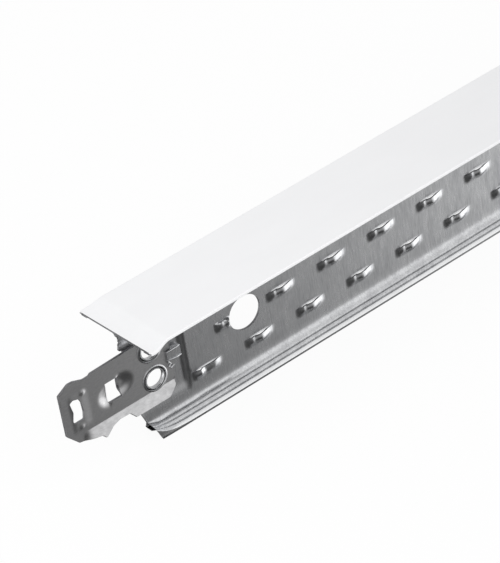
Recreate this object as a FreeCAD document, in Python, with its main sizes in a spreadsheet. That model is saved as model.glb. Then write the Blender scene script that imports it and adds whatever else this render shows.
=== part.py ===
"""Ceiling grid cross tee, 24 mm wide and 32 mm high, for a 600 mm grid.

Four pieces: the roll-formed galvanised profile, the white face cap folded round its
flanges, and one stamped clip clinched to each end of the web.

Frame, in millimetres: X runs along the tee, the visible white face looks up (+Z), the tee
stands on its bulb at Z 0, and the origin is under its middle. The tee is the same after
half a turn about Z, so the left end is described and the right end repeats it.
"""
import FreeCAD, Part
import Sketcher
import math
import os

doc = FreeCAD.newDocument("ceiling_grid_tee")


# Driving dimensions

SIZES = {
    # grid
    "grid_module": 600.0,  # between the middles of two main tees
    "main_tee_face": 24.0,
    "override_lap": 2.5,  # how far each end of the face lies over a main tee's face
    # section
    "tee_height": 32.0,
    "face_width": 24.0,
    "strip_gauge": 0.3,
    "cap_gauge": 0.25,
    "hem_return": 2.6,
    "face_edge_radius": 0.3,
    "bulb_width": 6.4,
    "bulb_height": 3.9,
    "bulb_root_radius": 0.6,
    "bulb_shoulder_radius": 0.3,
    "bulb_foot_radius": 0.45,
    "bulb_groove_level": 1.95,
    "bulb_groove_depth": 0.2,
    "flange_root_radius": 0.7,
    # stepped ends of the face
    "tongue_length": 2.4,
    "joggle_run": 3.4,
    "joggle_depth": 1.3,
    "end_corner_radius": 1.0,
    # ends of the web
    "web_head_inset": 0.4,
    "web_head_depth": 5.6,
    "web_head_slope": 1.0,
    "web_end_inset": 1.5,
    "web_slant_depth": 22.0,
    "web_foot_inset": 5.3,
    # panel pressed into the web for the clip
    "panel_length": 15.6,
    "panel_depth": 23.3,
    "panel_slope": 1.6,
    # hanger holes
    "hanger_hole_radius": 4.4,
    "hanger_hole_inset": 34.2,
    "hanger_hole_depth": 14.8,
    "hanger_hole_land": 0.35,  # flat ring that the punch leaves round the hole
    # stitches that lock the two layers of the web
    "stitch_length": 8.2,
    "stitch_width": 2.5,
    "stitch_rise": 0.9,
    "stitch_crown_length": 3.4,
    "stitch_crown_width": 1.3,
    "stitch_pitch": 15.2,
    "upper_row_inset": 29.6,
    "upper_row_depth": 14.8,
    "lower_row_inset": 21.9,
    "lower_row_depth": 23.4,
    # clip
    "clip_gauge": 0.6,
    "clip_reach": 16.9,
    "clip_tail": 13.3,
    "clip_top_depth": 7.2,
    "clip_top_rise": 0.5,  # towards the tail
    "clip_fold_depth": 21.0,
    "tip_shoulder_run": 2.8,
    "tip_shoulder_drop": 1.9,
    "tip_brow_rise": 0.35,
    "tip_brow_run": 1.5,
    "tip_dip_inset": 7.0,
    "tip_dip_depth": 0.5,
    "tip_nick_inset": 8.7,
    "tip_nick_width": 0.3,
    "tip_heel_run": 2.7,
    "tip_heel_rise": 1.7,
    "tip_heel_drop": 1.6,
    "tip_toe_drop": 2.6,
    "tail_corner": 1.5,
    "tail_fold_corner": 0.5,
    # flared lower lip of the clip
    "lip_inset": 6.3,
    "lip_drop": 2.6,
    "lip_flare": 1.6,
    "lip_step": 1.3,  # how much higher its middle is than its foot
    "lip_foot_inset": 0.5,  # from the end of the face
    "lip_foot_slope": 0.8,
    "lip_tooth_inset": 2.5,
    "lip_tooth_heel": 1.4,
    "lip_tooth_run": 4.1,
    "lip_tail_corner": 1.8,
    # slot near the tip, with the swage that stands up round it
    "slot_inset": 2.4,
    "slot_width": 3.0,
    "slot_height": 6.1,
    "slot_waist": 0.4,
    "slot_corner": 0.6,
    "slot_depth": 14.3,
    "swage_rise": 0.35,
    "swage_length": 5.2,
    "swage_run": 2.0,
    "swage_height": 10.2,
    "swage_lean": 0.9,
    # latch window with its pressed ramps
    "window_inset": 11.4,
    "window_width": 3.6,
    "window_height": 5.4,
    "window_waist": 0.15,
    "window_depth": 14.2,
    "ramp_run": 3.1,
    "ramp_depth": 0.5,
    "ramp_margin": 0.5,
    # collars that clinch the clip to the web
    "collar_inset": 7.5,
    "collar_depth": 17.8,
    "collar_spacing": 7.9,
    "collar_bore_radius": 2.15,
    "collar_wall": 0.3,
    "collar_rim_radius": 3.1,
    "collar_rim_height": 0.4,
    "collar_clearance": 0.05,
    # tab of the web that holds the tail of the clip down
    "keeper_inset": 11.9,
    "keeper_width": 2.4,
    "keeper_depth": 14.1,
    "keeper_window": 1.2,
}

sheet = doc.addObject("Spreadsheet::Sheet", "Sizes")
for row, (alias, number) in enumerate(SIZES.items(), start=1):
    sheet.set(f"A{row}", alias)
    sheet.set(f"B{row}", str(number))
    sheet.setAlias(f"B{row}", alias)
doc.recompute()


class Size:
    """A length as a formula on the sheet, with the number that it gives now."""

    def __init__(self, text, value):
        self.text = text
        self.value = value

    @staticmethod
    def of(other):
        """Return other as a Size."""
        return other if isinstance(other, Size) else Size(repr(float(other)), float(other))

    def __add__(self, other):
        other = Size.of(other)
        return Size(f"({self.text} + {other.text})", self.value + other.value)

    def __sub__(self, other):
        other = Size.of(other)
        return Size(f"({self.text} - {other.text})", self.value - other.value)

    def __mul__(self, other):
        other = Size.of(other)
        return Size(f"({self.text} * {other.text})", self.value * other.value)

    def __truediv__(self, other):
        other = Size.of(other)
        return Size(f"({self.text} / {other.text})", self.value / other.value)

    def __radd__(self, other):
        return Size.of(other) + self

    def __rsub__(self, other):
        return Size.of(other) - self

    def __rmul__(self, other):
        return Size.of(other) * self

    def __neg__(self):
        return Size(f"(0 - {self.text})", -self.value)


def size(alias):
    """Return the named cell of the sheet as a Size."""
    return Size(f"Sizes.{alias}", float(sheet.get(alias)))


# Sizes that follow from the driving ones

face_length = size("grid_module") - size("main_tee_face") + 2 * size("override_lap")
half_length = face_length / 2
tee_height = size("tee_height")
strip = size("strip_gauge")
cap = size("cap_gauge")
web_half = strip
overrun = Size.of(1.0)  # how far a cut reaches past what it cuts
clip_gauge = size("clip_gauge")
near_face = -web_half
panel_face = near_face + clip_gauge
flange_top = tee_height - cap
flange_bottom = flange_top - strip
bulb_half = size("bulb_width") / 2
bulb_height = size("bulb_height")


def along(inset):
    """Return the X of a point at inset from the left end of the face."""
    return inset - half_length


def level(depth):
    """Return the Z of a point at depth below the white face."""
    return tee_height - depth


# Helpers for bodies, sketches and features

def new_body(name):
    """Return a new body whose Label names the piece."""
    body = doc.addObject("PartDesign::Body", name)
    body.Label = name
    return body


def origin_feature(body, role):
    """Return the plane or axis of the body's own origin that has this role."""
    for feature in body.Origin.OriginFeatures:
        if feature.Role == role:
            return feature
    raise ValueError(f"{body.Name} has no {role}")


def bind(target, **properties):
    """Bind properties of target to sizes."""
    for name, amount in properties.items():
        target.setExpression(name, Size.of(amount).text)


def new_sketch(body, name, plane, offset=0.0):
    """Return a sketch on one of the body's origin planes, moved along its normal."""
    sketch = body.newObject("Sketcher::SketchObject", name)
    sketch.AttachmentSupport = [(origin_feature(body, plane), "")]
    sketch.MapMode = "FlatFace"
    sketch.setExpression("AttachmentOffset.Base.z", Size.of(offset).text)
    return sketch


class Bend:
    """A corner of an outline that is reached by an arc.

    The radius is positive where the arc turns left and negative where it turns right.
    """

    def __init__(self, across, up, radius):
        self.across = across
        self.up = up
        self.radius = radius


def corner_position(corner):
    """Return the two Sizes of a corner."""
    if isinstance(corner, Bend):
        return Size.of(corner.across), Size.of(corner.up)
    return Size.of(corner[0]), Size.of(corner[1])


def corner_point(corner):
    """Return the corner as a point of the sketch."""
    across, up = corner_position(corner)
    return FreeCAD.Vector(across.value, up.value, 0)


def arc_between(start, end, radius):
    """Return the short arc from start to end, turning left for a positive radius."""
    chord = end - start
    half_chord = chord.Length / 2
    sagging = math.sqrt(max(radius ** 2 - half_chord ** 2, 0.0))
    side = 1 if radius > 0 else -1
    left_normal = FreeCAD.Vector(-chord.y, chord.x, 0).normalize()
    centre = (start + end) / 2 + left_normal * sagging * side
    first, last = (start, end) if side > 0 else (end, start)
    start_angle = math.atan2(first.y - centre.y, first.x - centre.x)
    end_angle = math.atan2(last.y - centre.y, last.x - centre.x)
    if end_angle < start_angle:
        end_angle += 2 * math.pi
    circle = Part.Circle(centre, FreeCAD.Vector(0, 0, 1), abs(radius))
    return Part.ArcOfCircle(circle, start_angle, end_angle)


def constrain(sketch, kind, *where, amount=None):
    """Add a constraint, and bind it to amount if it has one."""
    if amount is None:
        sketch.addConstraint(Sketcher.Constraint(kind, *where))
        return
    index = sketch.addConstraint(Sketcher.Constraint(kind, *where, Size.of(amount).value))
    sketch.setExpression(f"Constraints[{index}]", Size.of(amount).text)


def draw_outline(sketch, corners):
    """Draw a closed outline through corners, each bound to the sheet."""
    ends = []
    for place, corner in enumerate(corners):
        start = corner_point(corners[place - 1])
        end = corner_point(corner)
        if isinstance(corner, Bend):
            radius = Size.of(corner.radius)
            edge = sketch.addGeometry(arc_between(start, end, radius.value))
            turns_left = radius.value > 0
            ends.append((edge, 1, 2) if turns_left else (edge, 2, 1))
            constrain(sketch, "Radius", edge, amount=radius if turns_left else -radius)
        else:
            edge = sketch.addGeometry(Part.LineSegment(start, end))
            ends.append((edge, 1, 2))
    for place, (edge, _, finish) in enumerate(ends):
        following, begin, _ = ends[(place + 1) % len(ends)]
        constrain(sketch, "Coincident", edge, finish, following, begin)
        across, up = corner_position(corners[place])
        constrain(sketch, "DistanceX", -1, 1, edge, finish, amount=across)
        constrain(sketch, "DistanceY", -1, 1, edge, finish, amount=up)


def draw_circle(sketch, across, up, radius):
    """Draw a circle bound to the sheet."""
    centre = FreeCAD.Vector(Size.of(across).value, Size.of(up).value, 0)
    circle = Part.Circle(centre, FreeCAD.Vector(0, 0, 1), Size.of(radius).value)
    edge = sketch.addGeometry(circle)
    constrain(sketch, "Radius", edge, amount=radius)
    constrain(sketch, "DistanceX", -1, 1, edge, 3, amount=across)
    constrain(sketch, "DistanceY", -1, 1, edge, 3, amount=up)


def pad_both_ways(body, name, sketch, length):
    """Pad the sketch by length, half to each side of its plane."""
    pad = body.newObject("PartDesign::Pad", name)
    pad.Profile = sketch
    pad.Midplane = True
    bind(pad, Length=length)
    return pad


def cut_through(body, name, sketch):
    """Cut the sketch through the whole body, to both sides of its plane."""
    pocket = body.newObject("PartDesign::Pocket", name)
    pocket.Profile = sketch
    pocket.Type = "ThroughAll"
    pocket.Midplane = True
    return pocket


def loft_along(body, name, sketches):
    """Join the sketches in order by straight walls."""
    loft = body.newObject("PartDesign::AdditiveLoft", name)
    loft.Profile = sketches[0]
    loft.Sections = sketches[1:]
    loft.Ruled = True
    return loft


def press(body, kind, name, near, far, near_box, far_box, side=1):
    """Add or cut a press form with one rectangle at Y near and one at Y far.

    Each box is the low X, high X, low Z and high Z of its rectangle. A side of -1 gives
    the form half a turn about Z, for the right end.
    """
    form = body.newObject(f"PartDesign::{kind}Wedge", name)
    if side < 0:
        near, far = -far, -near
        near_box, far_box = turned_box(far_box), turned_box(near_box)
    bind(form, Ymin=near, Ymax=far)
    bind(form, Xmin=near_box[0], Xmax=near_box[1], Zmin=near_box[2], Zmax=near_box[3])
    bind(form, X2min=far_box[0], X2max=far_box[1], Z2min=far_box[2], Z2max=far_box[3])
    return form


def turned_box(box):
    """Return the rectangle after half a turn about Z."""
    low_x, high_x, low_z, high_z = box
    return -high_x, -low_x, low_z, high_z


def cylinder_across(body, kind, name, inset, depth, radius, near, far, side=1):
    """Add or cut a cylinder along Y from Y near to Y far, half a turn round for side -1."""
    round_form = body.newObject(f"PartDesign::{kind}Cylinder", name)
    bind(round_form, Radius=radius, Height=far - near)
    round_form.Placement = FreeCAD.Placement(
        FreeCAD.Vector(), FreeCAD.Rotation(FreeCAD.Vector(1, 0, 0), -90))
    start = near if side > 0 else -far
    place_at(round_form, side * along(inset), start, level(depth))
    return round_form


def place_at(target, x, y, z):
    """Bind the place of a primitive to the sheet."""
    for axis, amount in zip("xyz", (x, y, z)):
        target.setExpression(f".Placement.Base.{axis}", Size.of(amount).text)


def row_pattern(body, name, originals, pitch, count):
    """Repeat the originals along X."""
    pattern = body.newObject("PartDesign::LinearPattern", name)
    pattern.Originals = originals
    pattern.Direction = (origin_feature(body, "X_Axis"), [""])
    pattern.Mode = "Spacing"
    bind(pattern, Offset=pitch)
    pattern.setExpression("Occurrences", count)
    body.Tip = pattern
    return pattern


# Stations of the stepped ends: X and how far the face has gone down there

joggle_end = size("tongue_length") + size("joggle_run")
STATIONS = [
    (along(0), size("joggle_depth")),
    (along(size("tongue_length")), size("joggle_depth")),
    (along(joggle_end), Size.of(0)),
    (-along(joggle_end), Size.of(0)),
    (-along(size("tongue_length")), size("joggle_depth")),
    (-along(0), size("joggle_depth")),
]


def flange_section(sink):
    """Return the corners of both flanges' section, lowered by sink."""
    reach = size("face_width") / 2 - cap
    top = flange_top - sink
    bottom = flange_bottom - sink
    return [(-reach, bottom), (reach, bottom), (reach, top), (-reach, top)]


def cap_section(sink):
    """Return the corners of the face cap's section, hems included, lowered by sink."""
    edge = size("face_width") / 2
    inner_edge = edge - cap
    hem_end = edge - size("hem_return")
    rounding = size("face_edge_radius")
    top = tee_height - sink
    under_top = top - cap
    hem_top = under_top - strip
    hem_bottom = hem_top - cap
    return [
        (-edge + rounding, top),
        Bend(-edge, top - rounding, rounding),
        (-edge, hem_bottom + rounding),
        Bend(-edge + rounding, hem_bottom, rounding),
        (-hem_end, hem_bottom),
        (-hem_end, hem_top),
        (-inner_edge, hem_top),
        (-inner_edge, under_top),
        (inner_edge, under_top),
        (inner_edge, hem_top),
        (hem_end, hem_top),
        (hem_end, hem_bottom),
        (edge - rounding, hem_bottom),
        Bend(edge, hem_bottom + rounding, rounding),
        (edge, top - rounding),
        Bend(edge - rounding, top, rounding),
    ]


def draw_stations(body, name, section):
    """Return one sketch of the section for each station of the stepped ends."""
    sketches = []
    for number, (place, sink) in enumerate(STATIONS, start=1):
        sketch = new_sketch(body, f"{name}_{number}", "YZ_Plane", place)
        draw_outline(sketch, section(sink))
        sketches.append(sketch)
    return sketches


# Roll-formed profile: two flanges, a double web, and a hollow bulb

def mirrored(corners):
    """Return the corners with their mirror images, left to right, in reverse order."""
    return corners + [(-across, up) for across, up in reversed(corners)]


def slant_inset(up):
    """Return the inset of the slanted web end at Z up."""
    run = size("web_foot_inset") - size("web_end_inset")
    start = level(size("web_slant_depth"))
    return size("web_end_inset") + run * (start - up) / start


def web_corners():
    """Return the side view of the web, stepped ends and slanted feet included."""
    crown = flange_top - strip / 2
    foot = bulb_height - strip / 2
    head = level(size("web_head_depth"))
    return mirrored([
        (along(slant_inset(foot)), foot),
        (along(size("web_end_inset")), level(size("web_slant_depth"))),
        (along(size("web_end_inset")), head - size("web_head_slope")),
        (along(size("web_head_inset")), head),
        (along(size("web_head_inset")), crown - size("joggle_depth")),
        (along(size("tongue_length")), crown - size("joggle_depth")),
        (along(joggle_end), crown),
    ])


def bulb_corners():
    """Return the outside of the bulb's section with its root on the web."""
    root = size("bulb_root_radius")
    shoulder = size("bulb_shoulder_radius")
    foot = size("bulb_foot_radius")
    groove = size("bulb_groove_depth")
    groove_level = size("bulb_groove_level")
    return [
        (-web_half, bulb_height + root),
        Bend(-web_half - root, bulb_height, -root),
        (-bulb_half + shoulder, bulb_height),
        Bend(-bulb_half, bulb_height - shoulder, shoulder),
        (-bulb_half, groove_level + groove),
        (-bulb_half + groove, groove_level),
        (-bulb_half, groove_level - groove),
        (-bulb_half, foot),
        Bend(-bulb_half + foot, 0, foot),
        (bulb_half - foot, 0),
        Bend(bulb_half, foot, foot),
        (bulb_half, groove_level - groove),
        (bulb_half - groove, groove_level),
        (bulb_half, groove_level + groove),
        (bulb_half, bulb_height - shoulder),
        Bend(bulb_half - shoulder, bulb_height, shoulder),
        (web_half + root, bulb_height),
        Bend(web_half, bulb_height + root, -root),
    ]


def hollow_corners():
    """Return the hollow of the bulb."""
    reach = bulb_half - strip - size("bulb_groove_depth")
    return [
        (-reach, strip),
        (reach, strip),
        (reach, bulb_height - strip),
        (-reach, bulb_height - strip),
    ]


def cut_slanted_ends(body):
    """Cut both ends of the bulb along the slanted feet of the web."""
    sketch = new_sketch(body, "slanted_ends", "XZ_Plane")
    top = level(size("web_slant_depth"))
    corners = [
        (along(-overrun), top),
        (along(-overrun), -overrun),
        (along(slant_inset(-overrun)), -overrun),
        (along(size("web_end_inset")), top),
    ]
    draw_outline(sketch, corners)
    draw_outline(sketch, [(-across, up) for across, up in corners])
    cut_through(body, "slanted_end_cut", sketch)


def press_panel(body, end, side):
    """Press the panel that takes the clip out of the plane of the web."""
    slope = size("panel_slope")
    floor_end = along(size("panel_length"))
    floor_bottom = level(size("panel_depth"))
    top = flange_bottom - size("joggle_depth")
    for kind, start, near in (("Additive", size("web_end_inset"), web_half),
                              ("Subtractive", -overrun, near_face)):
        rim = (along(start), floor_end + slope, floor_bottom - slope, top)
        floor = (along(start), floor_end, floor_bottom, top - slope)
        name = f"{end}_panel_{kind.lower()}"
        press(body, kind, name, near, near + clip_gauge, rim, floor, side)


def clinch_clip(body, name, depth, side):
    """Form one collar of the web that passes through the clip and folds over it."""
    inset = size("collar_inset")
    bore = size("collar_bore_radius")
    rim_face = near_face - size("collar_rim_height")
    back = panel_face + 2 * strip
    cylinder_across(body, "Additive", f"{name}_neck", inset, depth,
                    bore + size("collar_wall"), near_face, back, side)
    cylinder_across(body, "Additive", f"{name}_rim", inset, depth,
                    size("collar_rim_radius"), rim_face, near_face, side)
    cylinder_across(body, "Subtractive", f"{name}_bore", inset, depth,
                    bore, rim_face - strip, back + strip, side)


def box_across(body, kind, name, low, high, side=1):
    """Add or cut a box between two corners, half a turn round for side -1."""
    block = body.newObject(f"PartDesign::{kind}Box", name)
    spans = [end - start for start, end in zip(low, high)]
    bind(block, Length=spans[0], Width=spans[1], Height=spans[2])
    start = low if side > 0 else (-high[0], -high[1], low[2])
    place_at(block, *start)
    return block


def lance_keeper(body, end, side):
    """Form the tab that rises from the panel and lies over the tail of the clip."""
    bottom = level(size("keeper_depth")) - size("keeper_width") / 2
    top = bottom + size("keeper_width")
    outside = near_face - strip
    bend = along(size("panel_length")) + strip
    box_across(body, "Additive", f"{end}_keeper_tab",
               (along(size("keeper_inset")), outside, bottom), (bend, near_face, top), side)
    box_across(body, "Additive", f"{end}_keeper_leg",
               (bend - strip, outside, bottom), (bend, panel_face + strip, top), side)
    box_across(body, "Subtractive", f"{end}_keeper_window",
               (bend, outside, bottom + strip),
               (bend + size("keeper_window"), panel_face + 3 * strip, top - strip), side)


def form_end(body, end, side):
    """Form what holds the clip at one end of the web."""
    press_panel(body, end, side)
    clinch_clip(body, f"{end}_lower_collar", size("collar_depth"), side)
    upper = size("collar_depth") - size("collar_spacing")
    clinch_clip(body, f"{end}_upper_collar", upper, side)
    lance_keeper(body, end, side)


def stitch(body, name, inset, depth):
    """Form one stitch: a bulge to the near side, hollow behind and open along its top."""
    middle = along(inset)
    base_half = size("stitch_length") / 2
    crown_half = size("stitch_crown_length") / 2
    width = size("stitch_width")
    crown_width = size("stitch_crown_width")
    rise = size("stitch_rise")
    lip = level(depth) + width / 2
    base = (middle - base_half, middle + base_half, lip - width, lip)
    crown = (middle - crown_half, middle + crown_half, lip - crown_width, lip)
    mouth = (base[0] + strip, base[1] - strip, base[2] + strip, lip)
    floor = (crown[0], crown[1], crown[2] + strip, lip)
    bulge = press(body, "Additive", f"{name}_bulge", near_face - rise, near_face, crown, base)
    hollow = press(body, "Subtractive", f"{name}_hollow", web_half - rise, web_half,
                   floor, mouth)
    return [bulge, hollow]


def stitch_row(body, name, inset, depth, end_room):
    """Form a row of stitches that stops at least end_room before the right end."""
    first = stitch(body, name, inset, depth)
    room = face_length - end_room - inset
    count = f"floor({room.text} / Sizes.stitch_pitch) + 1"
    row_pattern(body, f"{name}_row", first, size("stitch_pitch"), count)


def punch_hanger_holes(body):
    """Punch a hanger hole near each end, and flatten the stitch that runs into it."""
    inset = size("hanger_hole_inset")
    depth = size("hanger_hole_depth")
    radius = size("hanger_hole_radius")
    land = radius + size("hanger_hole_land")
    bulge_face = near_face - 2 * size("stitch_rise")
    sketch = new_sketch(body, "hanger_holes", "XZ_Plane")
    for number, across in enumerate((along(inset), -along(inset)), start=1):
        draw_circle(sketch, across, level(depth), radius)
        cylinder_across(body, "Subtractive", f"hanger_hole_land_{number}",
                        across + half_length, depth, land, bulge_face, near_face)
    cut_through(body, "hanger_hole_punch", sketch)


def round_flange_roots(body):
    """Fill the two bends where the flanges leave the web."""
    root = size("flange_root_radius")
    reach = web_half + root
    sketch = new_sketch(body, "flange_root_section", "YZ_Plane")
    draw_outline(sketch, [
        (web_half, flange_bottom - root),
        Bend(reach, flange_bottom, -root),
        (reach, flange_bottom + strip / 2),
        (-reach, flange_bottom + strip / 2),
        (-reach, flange_bottom),
        Bend(-web_half, flange_bottom - root, -root),
    ])
    pad_both_ways(body, "flange_roots", sketch, face_length - 2 * joggle_end)


def round_end_corners(body, name):
    """Round the four corners of the face in plan."""
    radius = size("end_corner_radius")
    end = half_length
    edge = size("face_width") / 2
    sketch = new_sketch(body, f"{name}_corner_waste", "XY_Plane")
    for turn_x, turn_y in ((1, 1), (-1, 1), (-1, -1), (1, -1)):
        bend = radius if turn_x * turn_y < 0 else -radius
        draw_outline(sketch, [
            (turn_x * (end + overrun), turn_y * (edge - radius)),
            (turn_x * (end + overrun), turn_y * (edge + overrun)),
            (turn_x * (end - radius), turn_y * (edge + overrun)),
            (turn_x * (end - radius), turn_y * edge),
            Bend(turn_x * end, turn_y * (edge - radius), bend),
        ])
    cut_through(body, f"{name}_corner_cut", sketch)


def build_profile():
    """Build the galvanised profile."""
    body = new_body("tee_profile")
    web = new_sketch(body, "web_side_view", "XZ_Plane")
    draw_outline(web, web_corners())
    pad_both_ways(body, "web", web, 2 * web_half)
    bulb = new_sketch(body, "bulb_section", "YZ_Plane")
    draw_outline(bulb, bulb_corners())
    draw_outline(bulb, hollow_corners())
    pad_both_ways(body, "bulb", bulb, face_length)
    cut_slanted_ends(body)
    loft_along(body, "flanges", draw_stations(body, "flange_station", flange_section))
    round_flange_roots(body)
    round_end_corners(body, "flange")
    form_end(body, "left", 1)
    form_end(body, "right", -1)
    doc.recompute()
    hole_room = size("hanger_hole_inset") + size("hanger_hole_radius") + size("stitch_length") / 2
    stitch_row(body, "upper_stitch", size("upper_row_inset"), size("upper_row_depth"), hole_room)
    stitch_row(body, "lower_stitch", size("lower_row_inset"), size("lower_row_depth"),
               size("lower_row_inset"))
    punch_hanger_holes(body)
    return body


# White face cap

def build_cap():
    """Build the painted strip that wraps the flanges and steps down at its ends."""
    body = new_body("face_cap")
    loft_along(body, "wrap", draw_stations(body, "cap_station", cap_section))
    round_end_corners(body, "cap")
    return body


# End clips

clip_tip = along(-size("clip_reach"))
clip_tail = along(size("clip_tail"))
clip_fold = level(size("clip_fold_depth"))
clip_top = level(size("clip_top_depth"))
lip_start = clip_tip + size("lip_inset")


def plate_corners():
    """Return the side view of the clip's flat plate, from its tip to its tail."""
    brow = clip_tip + size("tip_shoulder_run")
    nick = clip_tip + size("tip_nick_inset")
    dip = clip_top - size("tip_dip_depth")
    tail_corner = size("tail_corner")
    return [
        (clip_tip, clip_fold + size("tip_heel_rise")),
        (clip_tip + size("tip_heel_run"), clip_fold - size("tip_heel_drop")),
        (lip_start, clip_fold - size("tip_toe_drop")),
        (lip_start, clip_fold),
        (clip_tail - size("tail_fold_corner"), clip_fold),
        (clip_tail, clip_fold + tail_corner),
        (clip_tail, clip_top + size("clip_top_rise") - tail_corner),
        (clip_tail - tail_corner, clip_top + size("clip_top_rise")),
        (nick + size("tip_nick_width"), clip_top),
        (nick, dip + size("tip_nick_width")),
        (clip_tip + size("tip_dip_inset"), dip),
        (brow + size("tip_brow_run"), clip_top + size("tip_brow_rise")),
        (brow, clip_top + size("tip_brow_rise")),
        (clip_tip, clip_top + size("tip_brow_rise") - size("tip_shoulder_drop")),
    ]


def lip_corners():
    """Return the section of the flared lip, from inside the plate down to its edge."""
    flare = size("lip_flare")
    edge = clip_fold - size("lip_drop")
    seat = clip_fold + clip_gauge / 2
    front = -clip_gauge / 2
    back = clip_gauge / 2
    return [
        (front, clip_fold),
        (front - flare, edge),
        (back - flare, edge),
        (back, clip_fold),
        (back, seat),
        (front, seat),
    ]


def lip_waste_corners():
    """Return what is trimmed off the lip's lower edge: its tooth and its foot stay."""
    edge = clip_fold - size("lip_drop")
    step = edge + size("lip_step")
    below = edge - overrun
    corner = size("lip_tail_corner")
    foot = along(size("lip_foot_inset"))
    tooth = lip_start + size("lip_tooth_inset")
    heel = size("lip_tooth_heel")
    return [
        (lip_start - overrun, below),
        (clip_tail + overrun, below),
        (clip_tail + overrun, clip_fold),
        (clip_tail - size("tail_fold_corner"), clip_fold),
        Bend(clip_tail - size("tail_fold_corner") - corner, edge, -2 * corner),
        (foot, edge),
        (foot - size("lip_foot_slope"), step),
        (tooth + size("lip_tooth_run"), step),
        (tooth, edge),
        (tooth - heel, edge + heel / 2),
        (lip_start, step),
        (lip_start - overrun, step),
    ]


def slot_corners():
    """Return the waisted slot near the tip."""
    left = clip_tip + size("slot_inset")
    right = left + size("slot_width")
    middle = level(size("slot_depth"))
    half = size("slot_height") / 2
    corner = size("slot_corner")
    return [
        (left, middle - half),
        (right - corner, middle - half),
        (right, middle - half + corner),
        (right, middle + half - 2 * corner),
        (right - 2 * corner, middle + half),
        (left + corner, middle + half),
        (left, middle + half - corner),
        (left + size("slot_waist"), middle),
    ]


def window_corners():
    """Return the window that the clip from the other side latches into."""
    left = clip_tip + size("window_inset")
    right = left + size("window_width")
    middle = level(size("window_depth"))
    half = size("window_height") / 2
    waist = size("window_waist")
    return [
        (left, middle - half),
        (right, middle - half),
        (right - waist, middle),
        (right, middle + half),
        (left, middle + half),
        (left + waist, middle),
    ]


def press_both_faces(body, name, shift, rim, floor):
    """Press a form into the plate by shift along Y, with its hollow on the other face."""
    front = -clip_gauge / 2
    back = clip_gauge / 2
    if shift.value > 0:
        press(body, "Additive", f"{name}_raised", back, back + shift, rim, floor)
        press(body, "Subtractive", f"{name}_sunk", front, front + shift, rim, floor)
    else:
        press(body, "Additive", f"{name}_raised", front + shift, front, floor, rim)
        press(body, "Subtractive", f"{name}_sunk", back + shift, back, floor, rim)


def press_swage(body, name):
    """Press the swage round the slot towards the near side."""
    left = clip_tip + size("slot_inset") - clip_gauge
    right = left + size("swage_length")
    middle = level(size("slot_depth"))
    half = size("swage_height") / 2
    lean = size("swage_lean")
    rim = (left, right, middle - half, middle + half)
    floor = (left + lean / 2, right - size("swage_run"), middle - half + lean,
             middle + half - lean)
    press_both_faces(body, name, -size("swage_rise"), rim, floor)


def press_ramps(body, name):
    """Press the ramps beside the latch window towards the far side."""
    left = clip_tip + size("window_inset")
    right = left + size("window_width")
    middle = level(size("window_depth"))
    half = size("window_height") / 2
    run = size("ramp_run")
    margin = size("ramp_margin")
    rim = (left - run, right + run, middle - half - margin, middle + half + margin)
    floor = (left, right, middle - half, middle + half)
    press_both_faces(body, name, size("ramp_depth"), rim, floor)


def build_clip(name, half_turn):
    """Build one clip, turned half round for the right end."""
    body = new_body(name)
    plate = new_sketch(body, f"{name}_plate_outline", "XZ_Plane")
    draw_outline(plate, plate_corners())
    pad_both_ways(body, f"{name}_plate", plate, clip_gauge)
    lip = new_sketch(body, f"{name}_lip_section", "YZ_Plane", (lip_start + clip_tail) / 2)
    draw_outline(lip, lip_corners())
    pad_both_ways(body, f"{name}_lip", lip, clip_tail - lip_start)
    waste = new_sketch(body, f"{name}_lip_waste", "XZ_Plane", -near_face)
    draw_outline(waste, lip_waste_corners())
    trim = body.newObject("PartDesign::Pocket", f"{name}_lip_trim")
    trim.Profile = waste
    trim.Reversed = True
    bind(trim, Length=size("lip_flare") * 2)
    press_swage(body, f"{name}_swage")
    press_ramps(body, f"{name}_ramps")
    openings = new_sketch(body, f"{name}_openings", "XZ_Plane")
    draw_outline(openings, slot_corners())
    draw_outline(openings, window_corners())
    hole_radius = size("collar_bore_radius") + size("collar_wall") + size("collar_clearance")
    for lift in (Size.of(0), size("collar_spacing")):
        up = level(size("collar_depth") - lift)
        draw_circle(openings, along(size("collar_inset")), up, hole_radius)
    cut_through(body, f"{name}_openings_cut", openings)
    if half_turn:
        body.Placement = FreeCAD.Placement(
            FreeCAD.Vector(), FreeCAD.Rotation(FreeCAD.Vector(0, 0, 1), 180))
    return body


# Build, check and write

pieces = [
    build_profile(),
    build_cap(),
    build_clip("end_clip_left", half_turn=False),
    build_clip("end_clip_right", half_turn=True),
]
doc.recompute()

for thing in doc.Objects:
    if "Invalid" in thing.State or "Error" in thing.State:
        raise RuntimeError(f"{thing.Name} failed: {thing.State}")

os.makedirs("parts", exist_ok=True)
for piece in pieces:
    shape = piece.Shape
    if shape.isNull() or not shape.isValid():
        raise RuntimeError(f"{piece.Label} has no valid shape")
    if len(shape.Solids) != 1:
        raise RuntimeError(f"{piece.Label} is {len(shape.Solids)} solids, not one")
    box = shape.BoundBox
    print(f"{piece.Label}: volume {shape.Volume:.1f}, faces {len(shape.Faces)}, "
          f"X {box.XMin:.2f} to {box.XMax:.2f}, Y {box.YMin:.2f} to {box.YMax:.2f}, "
          f"Z {box.ZMin:.2f} to {box.ZMax:.2f}")
    shape.exportStep(f"parts/{piece.Label}.step")
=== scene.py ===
"""Looks of a ceiling grid cross tee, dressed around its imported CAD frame.

The tee has four pieces: the roll-formed galvanised profile with its stitched web and hollow
bulb, the white face cap, and a stamped clip at each end. Sizes in the classes below are in
millimetres; meshes are written in metres, in the frame of the CAD. An inset is a distance
along the tee from the left end of its face, and a depth is a distance below the white face.
The tee is the same after half a turn about Z, so the right end repeats the left one.
"""

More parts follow.
